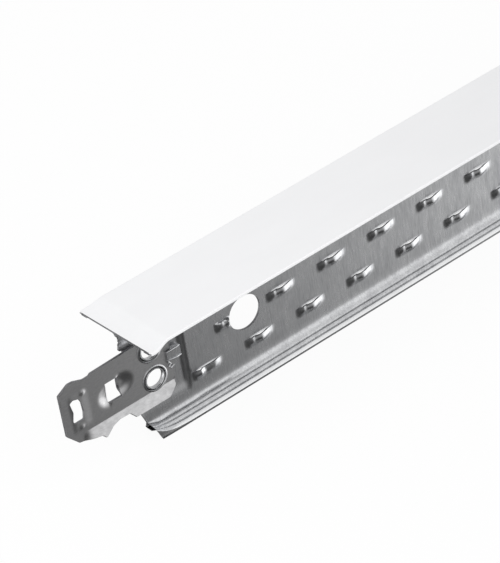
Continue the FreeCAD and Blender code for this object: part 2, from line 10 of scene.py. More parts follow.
import logging
import math
from dataclasses import dataclass, field
from enum import Enum
from typing import Any, Callable, Iterable, Sequence

import bmesh
import bpy
import numpy as np
from mathutils import Matrix, Vector
from mathutils.geometry import delaunay_2d_cdt


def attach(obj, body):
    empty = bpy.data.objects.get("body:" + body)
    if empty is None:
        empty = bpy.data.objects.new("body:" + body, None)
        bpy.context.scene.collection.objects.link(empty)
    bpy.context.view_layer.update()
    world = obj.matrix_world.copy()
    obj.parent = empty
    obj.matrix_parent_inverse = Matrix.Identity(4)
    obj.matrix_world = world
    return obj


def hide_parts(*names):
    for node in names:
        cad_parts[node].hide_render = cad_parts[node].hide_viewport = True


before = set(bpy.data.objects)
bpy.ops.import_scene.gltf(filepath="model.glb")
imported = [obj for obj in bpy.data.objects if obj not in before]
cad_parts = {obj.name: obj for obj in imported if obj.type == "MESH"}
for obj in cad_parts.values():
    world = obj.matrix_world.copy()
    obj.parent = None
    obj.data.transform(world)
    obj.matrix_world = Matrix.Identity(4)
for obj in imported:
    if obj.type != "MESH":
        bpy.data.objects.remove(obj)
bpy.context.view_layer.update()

MM = 0.001
FACE_LENGTH = 581.0
HALF_LENGTH = FACE_LENGTH / 2
TEE_HEIGHT = 32.0
STRIP = 0.3
CAP = 0.25
WEB_HALF = 0.3
FACE_HALF = 12.0
TINY = 1e-9
CLINCH_INSET = 7.9
CLINCH_DEPTHS = (17.85, 9.9)
CUT_EDGE = "cut_edge"
BODY = "root"

log = logging.getLogger("ceiling_grid_tee")

Pair = tuple[float, float]
Point = tuple[float, float, float]
Quad = tuple[float, float, float, float]
Colour = Quad
Array = np.ndarray
Skins = tuple[Array, Array]
Material = bpy.types.Material
Object = bpy.types.Object


class End(Enum):
    """The two ends of the tee."""

    LEFT = 1
    RIGHT = -1


class Bulb(Enum):
    """The bulb's sections, from its left end inwards."""

    CRUSHED = 0
    CREASED = 1
    PLAIN = 2


class Slot(Enum):
    """The record's material slots."""

    STRIP = "galvanised_strip"
    PAINT = "white_paint"
    CLIP = "clip_steel"


def ease(low: float, high: float, amount: Any) -> Any:
    """Return 0 below low, 1 above high, and a smooth step between them."""
    t = np.clip((np.asarray(amount, float) - low) / (high - low), 0.0, 1.0)
    return t * t * (3.0 - 2.0 * t)


def fillet_loop(corners: Sequence[tuple[float, ...]], steps: int = 5) -> list[Pair]:
    """Round the corners of a closed outline.

    Args:
        corners: Each corner's two coordinates, and its radius where it is rounded.
        steps: How many edges each rounded corner gets.

    Returns:
        The points of the rounded outline, in the same order.
    """
    loop: list[Pair] = []
    for place, (across, up, *given) in enumerate(corners):
        corner, radius = Vector((across, up)), sum(given)
        arms = [Vector(corners[(place + step) % len(corners)][:2]) - corner for step in (-1, 1)]
        if radius <= 0 or min(arm.length for arm in arms) == 0:
            loop.append((across, up))
            continue
        half = arms[0].angle(arms[1]) / 2
        reach = min(radius / math.tan(half), *(0.49 * arm.length for arm in arms))
        radius = reach * math.tan(half)
        before, after = (arm.normalized() for arm in arms)
        centre = corner + (before + after).normalized() * (radius / math.sin(half))
        first, last = (corner + arm * reach - centre for arm in (before, after))
        sweep = first.angle_signed(last)
        for step in range(steps + 1):
            turn = Matrix.Rotation(-sweep * step / steps, 2)
            loop.append(tuple(centre + turn @ first))
    return loop


def mirrored(corners: Sequence[tuple[float, ...]], about: float = 0.0) -> list[Any]:
    """Return corners in the opposite order, mirrored about a place across."""
    return [(2 * about - across, *rest) for across, *rest in reversed(corners)]


def turns(steps: int) -> Array:
    """Return the angles of a full turn in equal steps."""
    return np.linspace(0, 2 * math.pi, steps, endpoint=False)


def circle_loop(centre: Pair, radius: float, steps: int) -> list[Pair]:
    """Return the points of a circle."""
    return [(centre[0] + radius * math.cos(a), centre[1] + radius * math.sin(a))
            for a in turns(steps)]


def spread(*spans: Point) -> Array:
    """Join runs of numbers, each given by its start, its stop and its step."""
    return np.concatenate([np.arange(*span) for span in spans])


def lattice(columns: Array, levels: Array) -> Array:
    """Return the points where columns and levels cross."""
    return np.array([(x, z) for x in columns for z in levels])


def spaced(loop: Sequence[Pair], spacing: Callable[[Pair], float]) -> list[Pair]:
    """Divide the edges of a closed outline.

    Args:
        loop: The outline's points.
        spacing: Gives the longest edge that is wanted near a point.

    Returns:
        The outline with points added along its edges.
    """
    result: list[Pair] = []
    for start, end in zip(loop, [*loop[1:], loop[0]]):
        length = math.dist(start, end)

        def at(travelled: float) -> Pair:
            """Return the point that far along the edge."""
            return tuple(a + (b - a) * travelled / max(length, TINY) for a, b in zip(start, end))

        travelled = 0.0
        result.append(start)
        while True:
            step = spacing(at(travelled))
            travelled += step
            if travelled > length - 0.4 * step:
                break
            result.append(at(travelled))
    return result


def inside(points: Array, loops: Sequence[Sequence[Pair]]) -> Array:
    """Tell which points lie inside the outlines, holes left out, by the even-odd rule."""
    result = np.zeros(len(points), bool)
    for loop in loops:
        ring = np.array(loop)
        low, high = ring.min(0), ring.max(0)
        near = np.nonzero((points > low).all(1) & (points < high).all(1))[0]
        if not len(near):
            continue
        px, py = points[near, 0][:, None], points[near, 1][:, None]
        ax, ay = ring[:, 0], ring[:, 1]
        bx, by = np.roll(ax, -1), np.roll(ay, -1)
        straddles = (ay > py) != (by > py)
        rise = np.where(by == ay, 1e-12, by - ay)
        crossing = (bx - ax) * (py - ay) / rise + ax
        result[near] ^= (np.sum(straddles & (px < crossing), axis=1) % 2).astype(bool)
    return result


@dataclass
class MeshDraft:
    """Points in millimetres and faces of a piece, before they become a mesh."""

    points: list[Point] = field(default_factory=list)
    faces: list[tuple[int, ...]] = field(default_factory=list)
    cut: list[bool] = field(default_factory=list)

    def put(self, points: Iterable[Point]) -> int:
        """Add points and return the index of the first."""
        start = len(self.points)
        self.points.extend(tuple(float(c) for c in p) for p in points)
        return start

    def face(self, corners: Sequence[int], cut: bool = False) -> None:
        """Add one face."""
        self.faces.append(tuple(int(c) for c in corners))
        self.cut.append(cut)

    def bridge(self, first: int, second: int, count: int, cut: bool = False) -> None:
        """Close the gap between two rings that are already in the draft."""
        for place in range(count):
            after = (place + 1) % count
            self.face((first + place, first + after, second + after, second + place), cut)

    def tube(self, rings: Sequence[Sequence[Point]]) -> list[int]:
        """Join closed rings of equal counts, and return where each ring starts."""
        starts = [self.put(ring) for ring in rings]
        for low, high in zip(starts, starts[1:]):
            self.bridge(low, high, len(rings[0]))
        return starts

    def cloth(self, lines: Sequence[Sequence[Point]], flip: bool) -> int:
        """Join open lines of points to a surface, and return where it starts."""
        starts = [self.put(line) for line in lines]
        for low, high in zip(starts, starts[1:]):
            for place in range(len(lines[0]) - 1):
                corners = (low + place, low + place + 1, high + place + 1, high + place)
                self.face(corners[::-1] if flip else corners)
        return starts[0]

    def bar(self, rings: Sequence[Sequence[Point]], cut: bool = True) -> None:
        """Join closed rings of equal counts to a solid bar with flat ends."""
        starts = self.tube(rings)
        count = len(rings[0])
        self.face(range(starts[0] + count - 1, starts[0] - 1, -1), cut)
        self.face(range(starts[-1], starts[-1] + count), cut)

    def add(self, other: "MeshDraft", end: End = End.LEFT) -> None:
        """Add another draft, half a turn round for the right end."""
        turn = end.value
        start = self.put((turn * x, turn * y, z) for x, y, z in other.points)
        for corners, cut in zip(other.faces, other.cut):
            self.face([start + corner for corner in corners], cut)

    def mesh(self, name: str) -> bpy.types.Mesh:
        """Return the draft as a mesh in metres, with its cut edges marked."""
        mesh = bpy.data.meshes.new(name)
        mesh.from_pydata([tuple(c * MM for c in p) for p in self.points], [], self.faces)
        marks = mesh.attributes.new(CUT_EDGE, "BOOLEAN", "FACE")
        marks.data.foreach_set("value", self.cut)
        mesh.update()
        return mesh


def skins(flat: Array, near: Any, far: Any) -> Skins:
    """Stand points of the side view up as two surfaces, at the Y of each."""
    across = (np.broadcast_to(side, len(flat)) for side in (near, far))
    first, second = (np.c_[flat[:, 0] - HALF_LENGTH, y, flat[:, 1]] for y in across)
    return first, second


def plate(loops: Sequence[Sequence[Pair]], inner: Array,
          surfaces: Callable[[Array], Skins],
          open_rim: Callable[[float, float], bool] = lambda x, z: False) -> MeshDraft:
    """Build a plate with real holes from its side view.

    Args:
        loops: The outline and the holes, as X and Z.
        inner: More points inside, where the plate isn't flat.
        surfaces: Gives the near and the far surface's points for points of the side view.
        open_rim: Tells where a rim is left open, for another patch to close.

    Returns:
        The plate's near and far surfaces and its rims.
    """
    points: list[Vector] = []
    edges: list[tuple[int, int]] = []
    for loop in loops:
        start = len(points)
        points.extend(Vector(p) for p in loop)
        edges.extend((start + i, start + (i + 1) % len(loop)) for i in range(len(loop)))
    points.extend(Vector(p) for p in inner)
    found, _, triangles, *_ = delaunay_2d_cdt(points, edges, [], 0, 1e-6)
    flat = np.array([tuple(p) for p in found])
    corners = np.array([tuple(t) for t in triangles])
    kept = corners[inside(flat[corners].mean(1), loops)]
    first, second, third = (flat[kept[:, i]] for i in range(3))
    side_a, side_b = second - first, third - first
    area = side_a[:, 0] * side_b[:, 1] - side_a[:, 1] * side_b[:, 0]
    kept[area < 0] = kept[area < 0][:, ::-1]
    kept = kept[np.abs(area) > TINY]
    draft = MeshDraft()
    near_points, far_points = surfaces(flat)
    near = draft.put(near_points)
    far = draft.put(far_points)
    counts: dict[tuple[int, int], int] = {}
    for a, b, c in kept:
        draft.face((near + a, near + b, near + c))
        draft.face((far + c, far + b, far + a))
        for edge in ((a, b), (b, c), (c, a)):
            counts[edge] = counts.get(edge, 0) + 1
    for a, b in counts:
        if (b, a) in counts:
            continue
        middle = (flat[a] + flat[b]) / 2
        if not open_rim(*middle):
            draft.face((near + a, far + a, far + b, near + b), cut=True)
    return draft


def finish_mesh(obj: Object, sharp_angle: float = 38.0) -> None:
    """Point an object's faces outwards and smooth them up to an angle in degrees."""
    work = bmesh.new()
    work.from_mesh(obj.data)
    bmesh.ops.remove_doubles(work, verts=work.verts, dist=1e-7)
    loose = [v for v in work.verts if not v.link_faces]
    bmesh.ops.delete(work, geom=loose, context="VERTS")
    bmesh.ops.recalc_face_normals(work, faces=work.faces)
    work.to_mesh(obj.data)
    work.free()
    obj.data.polygons.foreach_set("use_smooth", [True] * len(obj.data.polygons))
    obj.data.set_sharp_from_angle(angle=math.radians(sharp_angle))
    obj.data.update()


def new_object(name: str, data: bpy.types.ID) -> Object:
    """Put a mesh, a camera or a light in the scene as an object at the origin."""
    obj = bpy.data.objects.new(name, data)
    bpy.context.scene.collection.objects.link(obj)
    return obj


def declare(obj: Object, node: str, slot: Slot) -> None:
    """Parent a piece to the body, hide the CAD node that it stands for and log its size."""
    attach(obj, BODY)
    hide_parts(node)
    triangles = sum(len(p.vertices) - 2 for p in obj.data.polygons)
    log.info("%s: %d triangles, stands for %s", obj.name, triangles, node)


def dressed_piece(name: str, draft: MeshDraft, replaces: tuple[str, Slot], main: Material,
                  cut: Material) -> Object:
    """Make a piece of a draft.

    Args:
        name: The piece's name.
        draft: Its points and faces.
        replaces: The node that it stands for, and the material slot.
        main: Its main finish.
        cut: The finish of its cut edges.

    Returns:
        The finished piece.
    """
    piece = new_object(name, draft.mesh(name))
    piece.data.materials.append(main)
    piece.data.materials.append(cut)
    marks = piece.data.attributes[CUT_EDGE].data
    piece.data.polygons.foreach_set("material_index", [int(mark.value) for mark in marks])
    finish_mesh(piece)
    declare(piece, *replaces)
    return piece


# Node trees


def operator(operation: str, reflected: bool = False) -> Callable[["Signal", Any], "Signal"]:
    """Return a method that adds a maths node, with its operands the other way when reflected."""
    def method(self: "Signal", other: Any) -> "Signal":
        """Return the node's output."""
        left, right = (other, self) if reflected else (self, other)
        return self.sheet.add("ShaderNodeMath", {0: left, 1: right}, {"operation": operation})

    return method


@dataclass(frozen=True)
class Signal:
    """An output of a node that can be used in Python expressions."""

    sheet: "NodeSheet"
    socket: bpy.types.NodeSocket

    __add__, __radd__ = operator("ADD"), operator("ADD", reflected=True)
    __sub__, __rsub__ = operator("SUBTRACT"), operator("SUBTRACT", reflected=True)
    __mul__, __rmul__ = operator("MULTIPLY"), operator("MULTIPLY", reflected=True)


@dataclass(frozen=True)
class NodeSheet:
    """A node tree whose nodes all come from one method."""

    tree: bpy.types.NodeTree

    def add(self, kind: str, sockets: dict[Any, Any] | None = None,
            settings: dict[str, Any] | None = None, out: Any = 0) -> Signal | None:
        """Add a node.

        Args:
            kind: The node's type.
            sockets: Values or signals for its inputs, by name or place.
            settings: Its own settings, and "stops" for a colour ramp.
            out: The output that is returned.

        Returns:
            The output, or None for a node that has none.
        """
        node = self.tree.nodes.new(kind)
        for name, value in (settings or {}).items():
            if name == "stops":
                elements = node.color_ramp.elements
                while len(elements) < len(value):
                    elements.new(0.5)
                for element, (place, level) in zip(elements, value):
                    element.position = place
                    element.color = (level, level, level, 1.0)
            else:
                setattr(node, name, value)
        for name, value in (sockets or {}).items():
            for item in value if isinstance(value, list) else [value]:
                if isinstance(item, Signal):
                    self.tree.links.new(item.socket, node.inputs[name])
                else:
                    node.inputs[name].default_value = item
        return Signal(self, node.outputs[out]) if len(node.outputs) else None

    def blend(self, factor: Any, first: Any, second: Any) -> Signal:
        """Mix two colours."""
        return self.add("ShaderNodeMix", {0: factor, 6: first, 7: second},
                        {"data_type": "RGBA"}, out=2)

    def place(self, scale: Point = (1.0, 1.0, 1.0)) -> Signal:
        """Return the object coordinates times a scale, in points per metre."""
        spot = self.add("ShaderNodeTexCoord", out="Object")
        return self.add("ShaderNodeMapping", {"Vector": spot, "Scale": scale})

    def axes(self, vector: Signal) -> list[Signal]:
        """Split a vector into its three parts."""
        first = self.add("ShaderNodeSeparateXYZ", {"Vector": vector})
        return [Signal(self, output) for output in first.socket.node.outputs]

    def step(self, value: Signal, low: float, high: float, start: float,
             end: float) -> Signal:
        """Return a smooth step from start to end, where a value goes from low to high."""
        return self.add("ShaderNodeMapRange", {
            "Value": value, "From Min": low, "From Max": high, "To Min": start, "To Max": end},
            {"interpolation_type": "SMOOTHSTEP"})

    def bump(self, height: Signal, strength: float) -> Signal:
        """Return the normal of a surface with relief up to 0.05 mm high."""
        return self.add("ShaderNodeBump", {
            "Strength": strength, "Distance": 0.05 * MM, "Height": height})

    def noise(self, scale: Point, detail: float = 3.0, rough: float = 0.5) -> Signal:
        """Return a noise value with its own scale along each axis."""
        return self.add("ShaderNodeTexNoise", {
            "Vector": self.place(scale), "Scale": 1.0, "Detail": detail, "Roughness": rough},
            out="Fac")

    def ramp(self, value: Signal, stops: Sequence[Pair]) -> Signal:
        """Remap a value through grey stops of place and level."""
        return self.add("ShaderNodeValToRGB", {"Fac": value}, {"stops": stops})


def new_material(name: str) -> tuple[Material, NodeSheet]:
    """Return an empty node material and the sheet of its tree."""
    material = bpy.data.materials.new(name)
    material.use_nodes = True
    material.node_tree.nodes.clear()
    return material, NodeSheet(material.node_tree)


# Finishes


@dataclass(frozen=True)
class Finish:
    """A finish whose tone varies between a dark and a light one."""

    name: str = "plain"
    dark: Colour = (0.5, 0.5, 0.5, 1.0)
    light: Colour = (0.5, 0.5, 0.5, 1.0)
    roughness: float = 0.5
    roughness_spread: float = 0.0
    metallic: float = 1.0

    def sockets(self, sheet: NodeSheet) -> dict[str, Any]:
        """Return what goes into the principled shader's inputs."""
        return self.toned(sheet, 0.5, 0.5)

    def toned(self, sheet: NodeSheet, light: Any, rough: Any) -> dict[str, Any]:
        """Return the inputs for a share of the light tone and one of the roughness' spread."""
        return {"Base Color": sheet.blend(light, self.dark, self.light),
                "Roughness": self.roughness + rough * self.roughness_spread,
                "Metallic": self.metallic}

    def make(self) -> Material:
        """Build the material."""
        material, sheet = new_material(self.name)
        shader = sheet.add("ShaderNodeBsdfPrincipled", self.sockets(sheet))
        sheet.add("ShaderNodeOutputMaterial", {"Surface": shader})
        return material


@dataclass(frozen=True)
class RolledZinc(Finish):
    """Galvanised strip with fine streaks across its length, faint cloudy spangle, a painted
    highlight on the bulb's flank and painted shade along its foot.
    """

    name: str = "rolled_zinc"
    dark: Colour = (0.34, 0.345, 0.355, 1.0)
    light: Colour = (0.66, 0.665, 0.675, 1.0)
    roughness: float = 0.24
    roughness_spread: float = 0.10
    relief: float = 0.06
    # Painted highlight: a lighter zinc laid on the bulb's flank in place of a bright reflection.
    painted_highlight: Colour = (0.80, 0.805, 0.81, 1.0)
    # Painted shade: a dark zinc colour along the bulb's foot, standing in for its contact shadow.
    painted_foot_shade: Colour = (0.20, 0.20, 0.205, 1.0)
    highlight_height: Pair = (0.0009, 0.0013)
    wall_height: Pair = (0.00045, 0.0006)

    def sockets(self, sheet: NodeSheet) -> dict[str, Any]:
        """Streak the strip, paint a highlight on the flank of the bulb and paint shade along its
        foot.
        """
        height = sheet.axes(sheet.place())[2]
        # Share of the painted highlight, between about 0.45 and 1.3 mm up the bulb.
        highlight_share = sheet.step(height, *self.highlight_height, 0.8, 0.0)
        highlight_share = highlight_share * sheet.step(height, *self.wall_height, 0.0, 1.0)
        # Share of the painted shade, below about 0.5 mm up the bulb.
        foot = sheet.step(height, *self.wall_height, 0.75, 0.0)
        streaks = sheet.noise((2900.0, 2900.0, 320.0), 4.0, 0.65)
        bands = sheet.noise((600.0, 600.0, 70.0), 2.0, 0.5)
        clouds = sheet.noise((160.0, 160.0, 110.0), 3.0, 0.6)
        pattern = sheet.ramp(streaks * 0.55 + bands * 0.2 + clouds * 0.25,
                             [(0.32, 0.0), (0.68, 1.0)])
        inputs = self.toned(sheet, pattern, 1 - pattern)
        # Lay the painted highlight, then the painted shade at the foot, over the streaked zinc.
        colour = sheet.blend(highlight_share, inputs["Base Color"], self.painted_highlight)
        return inputs | {"Base Color": sheet.blend(foot, colour, self.painted_foot_shade),
                         "Normal": sheet.bump(streaks, self.relief)}


@dataclass(frozen=True)
class SatinPaint(Finish):
    """White coil coating with a faint orange peel."""

    name: str = "satin_white_paint"
    dark: Colour = (0.82, 0.822, 0.834, 1.0)
    light: Colour = (0.86, 0.862, 0.872, 1.0)
    roughness: float = 0.42
    roughness_spread: float = 0.08
    metallic: float = 0.0
    relief: float = 0.03

    def sockets(self, sheet: NodeSheet) -> dict[str, Any]:
        """Cloud the coating faintly."""
        clouds = sheet.noise((60.0, 140.0, 140.0), 3.0, 0.5)
        peel = sheet.noise((1500.0, 1500.0, 1500.0), 2.0, 0.5)
        return self.toned(sheet, clouds, clouds) | {"Normal": sheet.bump(peel, self.relief)}


@dataclass(frozen=True)
class StampedSteel(Finish):
    """Plain clip steel, a little mottled and scuffed by the tool."""

    name: str = "stamped_clip_steel"
    dark: Colour = (0.37, 0.37, 0.375, 1.0)
    light: Colour = (0.54, 0.54, 0.545, 1.0)
    roughness: float = 0.28
    roughness_spread: float = 0.12
    relief: float = 0.06

    def sockets(self, sheet: NodeSheet) -> dict[str, Any]:
        """Mottle the steel, with a grain along the strip."""
        mottle = sheet.noise((420.0, 420.0, 420.0), 5.0, 0.7)
        grain = sheet.noise((900.0, 900.0, 3200.0), 3.0, 0.6)
        pattern = sheet.ramp(mottle * 0.6 + grain * 0.4, [(0.35, 0.0), (0.66, 1.0)])
        return self.toned(sheet, pattern, 1 - pattern) | {
            "Normal": sheet.bump(pattern, self.relief)}


@dataclass(frozen=True)
class ShearedSteel(Finish):
    """Edges of the strip where a blade has cut it: dark, with a torn grain."""

    name: str = "sheared_steel_edge"
    dark: Colour = (0.10, 0.10, 0.105, 1.0)
    light: Colour = (0.30, 0.30, 0.31, 1.0)
    roughness: float = 0.35
    roughness_spread: float = 0.2

    def sockets(self, sheet: NodeSheet) -> dict[str, Any]:
        """Grain the edge."""
        torn = sheet.noise((1400.0, 1400.0, 1400.0), 4.0, 0.7)
        return self.toned(sheet, torn, torn)


# Stitches of the web


@dataclass(frozen=True)
class Stitch:
    """One lanced stitch: a bulge to the near side that is torn free along its top."""

    ridge: tuple[Pair, ...] = ((-4.1, 0), (-2.4, 0.6), (-1.5, 0.59), (0.1, 0.95), (4.1, 0))
    dimple: Point = (-1.4, 0.15, 0.45)
    length: float = 8.2
    width: float = 2.5
    pitch: float = 15.2
    half_window: float = 4.6
    window_top: float = 1.0
    window_bottom: float = -3.0
    slit: float = 0.07
    narrowing: float = 0.22
    crown: Pair = (0.34, 0.14)
    lip_curl: float = 0.2
    pull: float = 0.16
    thinning: float = 0.25

    def columns(self) -> list[float]:
        """Return the patch's columns, from one side to the other."""
        half = [0.0, 0.4, 0.8, 1.2, 1.6, 2.0, 2.4, 2.8, 3.2, 3.65, self.length / 2,
                self.half_window]
        return [-u for u in reversed(half[1:])] + half

    def rows(self) -> tuple[list[float], list[float]]:
        """Return the rows above the slit and those below it, both from the slit."""
        above = [0.0, 0.1, 0.2, 0.34, 0.6, self.window_top]
        below = [0.0, -0.25, -0.6, -1.0, -1.4, -1.8, -2.2, -2.55, -2.8, self.window_bottom]
        return above, below

    def bulge(self, u: Any, v: Any) -> Any:
        """Return how far the metal stands out at u along and v up from the slit."""
        u, below = np.asarray(u, float), -np.asarray(v, float)
        along = 0.0
        for (low, before), (high, after) in zip(self.ridge, self.ridge[1:]):
            straight = np.clip((u - low) / (high - low), 0, 1)
            along = along + (after - before) * (0.4 * straight + 0.6 * ease(low, high, u))
        middle, depth, reach = self.dimple
        dimple = np.exp(-((u - middle) / reach) ** 2)
        along = along - depth * dimple * (1 - ease(0.3, 1.1, below))
        width = (self.width + 0.3) * (1 - self.narrowing * ease(1.0, 4.0, u))
        crown = self.crown[0] + self.crown[1] * ease(-0.8, 1.0, u)
        curl = self.lip_curl * (1 - ease(0.0, 0.8, below))
        return np.maximum(along, 0.0) * (1 - ease(crown * width, width, below) - curl)

    def lift(self, u: Any, v: Any) -> Any:
        """Return how far the web's own edge above the slit is pulled out."""
        middle = self.pull * (1 - ease(1.0, self.length / 2, np.abs(u)))
        return middle * (1 - ease(0.0, 0.32, v))

    def window(self, middle: float, lip: float) -> list[Pair]:
        """Return the outline of the window that the patch fits, in the web's side view."""
        above, below = self.rows()
        columns = self.columns()
        sides = [*reversed(below), *above[1:]]
        loop = [(u, self.window_bottom) for u in columns]
        loop += [(self.half_window, v) for v in sides[1:]]
        loop += [(u, self.window_top) for u in reversed(columns[:-1])]
        loop += [(-self.half_window, v) for v in list(reversed(sides))[1:-1]]
        return [(middle + u, lip + v) for u, v in loop]

    def draft(self) -> MeshDraft:
        """Build the patch around its slit, with its near and far surfaces."""
        draft = MeshDraft()
        columns = self.columns()
        half = self.length / 2
        rims = []
        for lower, rows in enumerate(self.rows()):
            for side in (-1, 1):

                def spot(u: float, v: float) -> Point:
                    """Return a point of the surface, at u along and v up from the slit."""
                    near_slit = 1 - ease(0, 1.0, abs(v))
                    drop = self.slit * (1 - ease(0, half, abs(u))) * near_slit * lower
                    thin = self.thinning * (1 - ease(0, 0.8, abs(v))) * (side > 0)
                    thin *= 1 - ease(3.0, half, abs(u))
                    out = float((self.bulge if lower else self.lift)(u, v))
                    return u, side * WEB_HALF - out - thin, v - drop

                rims.append(draft.cloth([[spot(u, v) for u in columns] for v in rows],
                                        flip=lower != (side > 0)))
        for lower, (near, far) in enumerate((rims[:2], rims[2:])):
            for place in range(1, len(columns) - 2):
                corners = (near + place, near + place + 1, far + place + 1, far + place)
                draft.face(corners if lower else corners[::-1], cut=True)
        return draft


@dataclass(frozen=True)
class Row:
    """A run of stitches along the web."""

    name: str
    start: float
    depth: float
    count: int
    lip_rise: float = 1.25

    @property
    def lip(self) -> float:
        """Return the height of the stitches' upper edge."""
        return TEE_HEIGHT - self.depth + self.lip_rise


@dataclass(frozen=True)
class StitchRows:
    """Geometry nodes that set the stitches into the windows of the web."""

    upper: Row = Row("Upper", 44.8, 14.8, 33)
    first: Row = Row("First", 21.9, 23.4, 1)
    lower: Row = Row("Lower", 37.1, 23.4, 35)
    weld: float = 0.002

    @property
    def rows(self) -> tuple[Row, Row, Row]:
        """Return all the runs."""
        return self.upper, self.first, self.lower

    def places(self, pitch: float) -> list[Pair]:
        """Return the inset and the lip height of every stitch."""
        return [(row.start + pitch * i, row.lip) for row in self.rows for i in range(row.count)]

    def tree(self, zinc: Material, cut: Material) -> bpy.types.NodeTree:
        """Build the node group that joins the web and its stitches.

        Args:
            zinc: The finish of the strip.
            cut: The finish of its cut edges.

        Returns:
            The group, with named inputs for its sizes.
        """
        group = bpy.data.node_groups.new("stitch_rows", "GeometryNodeTree")
        inputs = {"Web": "Geometry"}
        for row in self.rows:
            inputs |= {f"{row.name} Stitch": "Object", f"{row.name} Start": "Vector",
                       f"{row.name} Count": "Int"}
        inputs |= {"Pitch": "Vector", "Weld Distance": "Float"}
        for name, kind in inputs.items():
            group.interface.new_socket(name, in_out="INPUT", socket_type=f"NodeSocket{kind}")
        group.interface.new_socket("Tee", in_out="OUTPUT", socket_type="NodeSocketGeometry")
        sheet = NodeSheet(group)
        given = group.nodes.new("NodeGroupInput")
        named = {name: Signal(sheet, given.outputs[name]) for name in inputs}
        parts = [named["Web"]]
        for row in self.rows:
            shape = sheet.add("GeometryNodeObjectInfo", {
                "Object": named[f"{row.name} Stitch"]}, out="Geometry")
            line = sheet.add("GeometryNodeMeshLine", {
                "Count": named[f"{row.name} Count"], "Offset": named["Pitch"],
                "Start Location": named[f"{row.name} Start"]}, {"mode": "OFFSET"})
            parts.append(sheet.add("GeometryNodeInstanceOnPoints", {
                "Points": line, "Instance": shape}))
        joined = sheet.add("GeometryNodeJoinGeometry", {"Geometry": parts[::-1]})
        real = sheet.add("GeometryNodeRealizeInstances", {"Geometry": joined})
        welded = sheet.add("GeometryNodeMergeByDistance", {
            "Geometry": real, "Distance": named["Weld Distance"]})
        dressed = sheet.add("GeometryNodeSetMaterial", {
            "Geometry": welded, "Material": zinc})
        marks = sheet.add("GeometryNodeInputNamedAttribute", {"Name": CUT_EDGE},
                          {"data_type": "BOOLEAN"})
        edged = sheet.add("GeometryNodeSetMaterial", {
            "Geometry": dressed, "Selection": marks, "Material": cut})
        sheet.add("NodeGroupOutput", {"Tee": edged})
        return group

    def apply(self, web: Object, stitch: Stitch, first: Stitch, zinc: Material,
              cut: Material) -> Object:
        """Set the stitches into the web.

        Args:
            web: The object whose windows are open.
            stitch: The stitch's sizes.
            first: The sizes of the first stitch of the lower row.
            zinc: The finish of the strip.
            cut: The finish of its cut edges.

        Returns:
            A new object with a plain mesh; the one that was given is removed.
        """
        plain, special = (new_object(name, form.draft().mesh(name)) for name, form in
                          (("stitch_pattern", stitch), ("first_stitch_pattern", first)))
        modifier = web.modifiers.new("stitches", "NODES")
        modifier.node_group = self.tree(zinc, cut)
        values: dict[str, Any] = {"Pitch": (stitch.pitch * MM, 0.0, 0.0),
                                  "Weld Distance": self.weld * MM}
        for row in self.rows:
            values |= {f"{row.name} Stitch": special if row is self.first else plain,
                       f"{row.name} Start": ((row.start - HALF_LENGTH) * MM, 0.0, row.lip * MM),
                       f"{row.name} Count": row.count}
        for item in modifier.node_group.interface.items_tree:
            if item.in_out == "INPUT" and item.name in values:
                modifier[item.identifier] = values[item.name]
        depsgraph = bpy.context.evaluated_depsgraph_get()
        mesh = bpy.data.meshes.new_from_object(web.evaluated_get(depsgraph))
        name = web.name
        for used in (plain, special, web):
            bpy.data.objects.remove(used)
        return new_object(name, mesh)


# Sub-assemblies


@dataclass(frozen=True)
class Joggle:
    """How the face and what carries it step down at both ends."""

    tongue: float = 2.2
    run: float = 4.0
    depth: float = 0.95
    twist: float = 0.5
    skew: Pair = (0.3, 0.7)
    skew_run: float = 3.2

    def near_end(self, inset: float) -> tuple[End, float]:
        """Return the nearest end and the distance to it."""
        return (End.LEFT, inset) if inset < HALF_LENGTH else (End.RIGHT, FACE_LENGTH - inset)

    def sink(self, inset: float, across: float) -> float:
        """Return how far the face has gone down at an inset and a Y of the face."""
        end, distance = self.near_end(inset)
        depth = self.depth - self.twist * end.value * across / FACE_HALF
        return depth * (1 - float(ease(self.tongue, self.tongue + self.run, distance)))

    def cut_back(self, inset: float, across: float) -> float:
        """Return how far the slightly oblique end cut moves a point along X."""
        end, distance = self.near_end(inset)
        back = self.skew[0] - self.skew[1] * end.value * across / FACE_HALF
        return end.value * back * (1 - float(ease(0.0, self.skew_run, distance)))

    def stations(self) -> list[float]:
        """Return the insets where the face needs a section."""
        left = [0.0, 0.08, 0.2, 0.4, 0.7, 1.0, 1.5]
        left += [self.tongue + self.run * i / 10 for i in range(-1, 12)]
        return left + [FACE_LENGTH - inset for inset in reversed(left)]

    def carry(self, section: Sequence[Pair],
              narrow: Callable[[float, float], float] = lambda inset, y: 0.0) -> MeshDraft:
        """Carry a section along the face, stepped down and cut off at both ends.

        Args:
            section: The closed section, as Y and Z.
            narrow: Gives how far a point moves towards the middle, for an inset and a Y.

        Returns:
            The closed bar.
        """
        draft = MeshDraft()
        draft.bar([[(inset - HALF_LENGTH + self.cut_back(inset, y),
                     y - math.copysign(narrow(inset, y), y), z - self.sink(inset, y))
                    for y, z in section] for inset in self.stations()])
        return draft


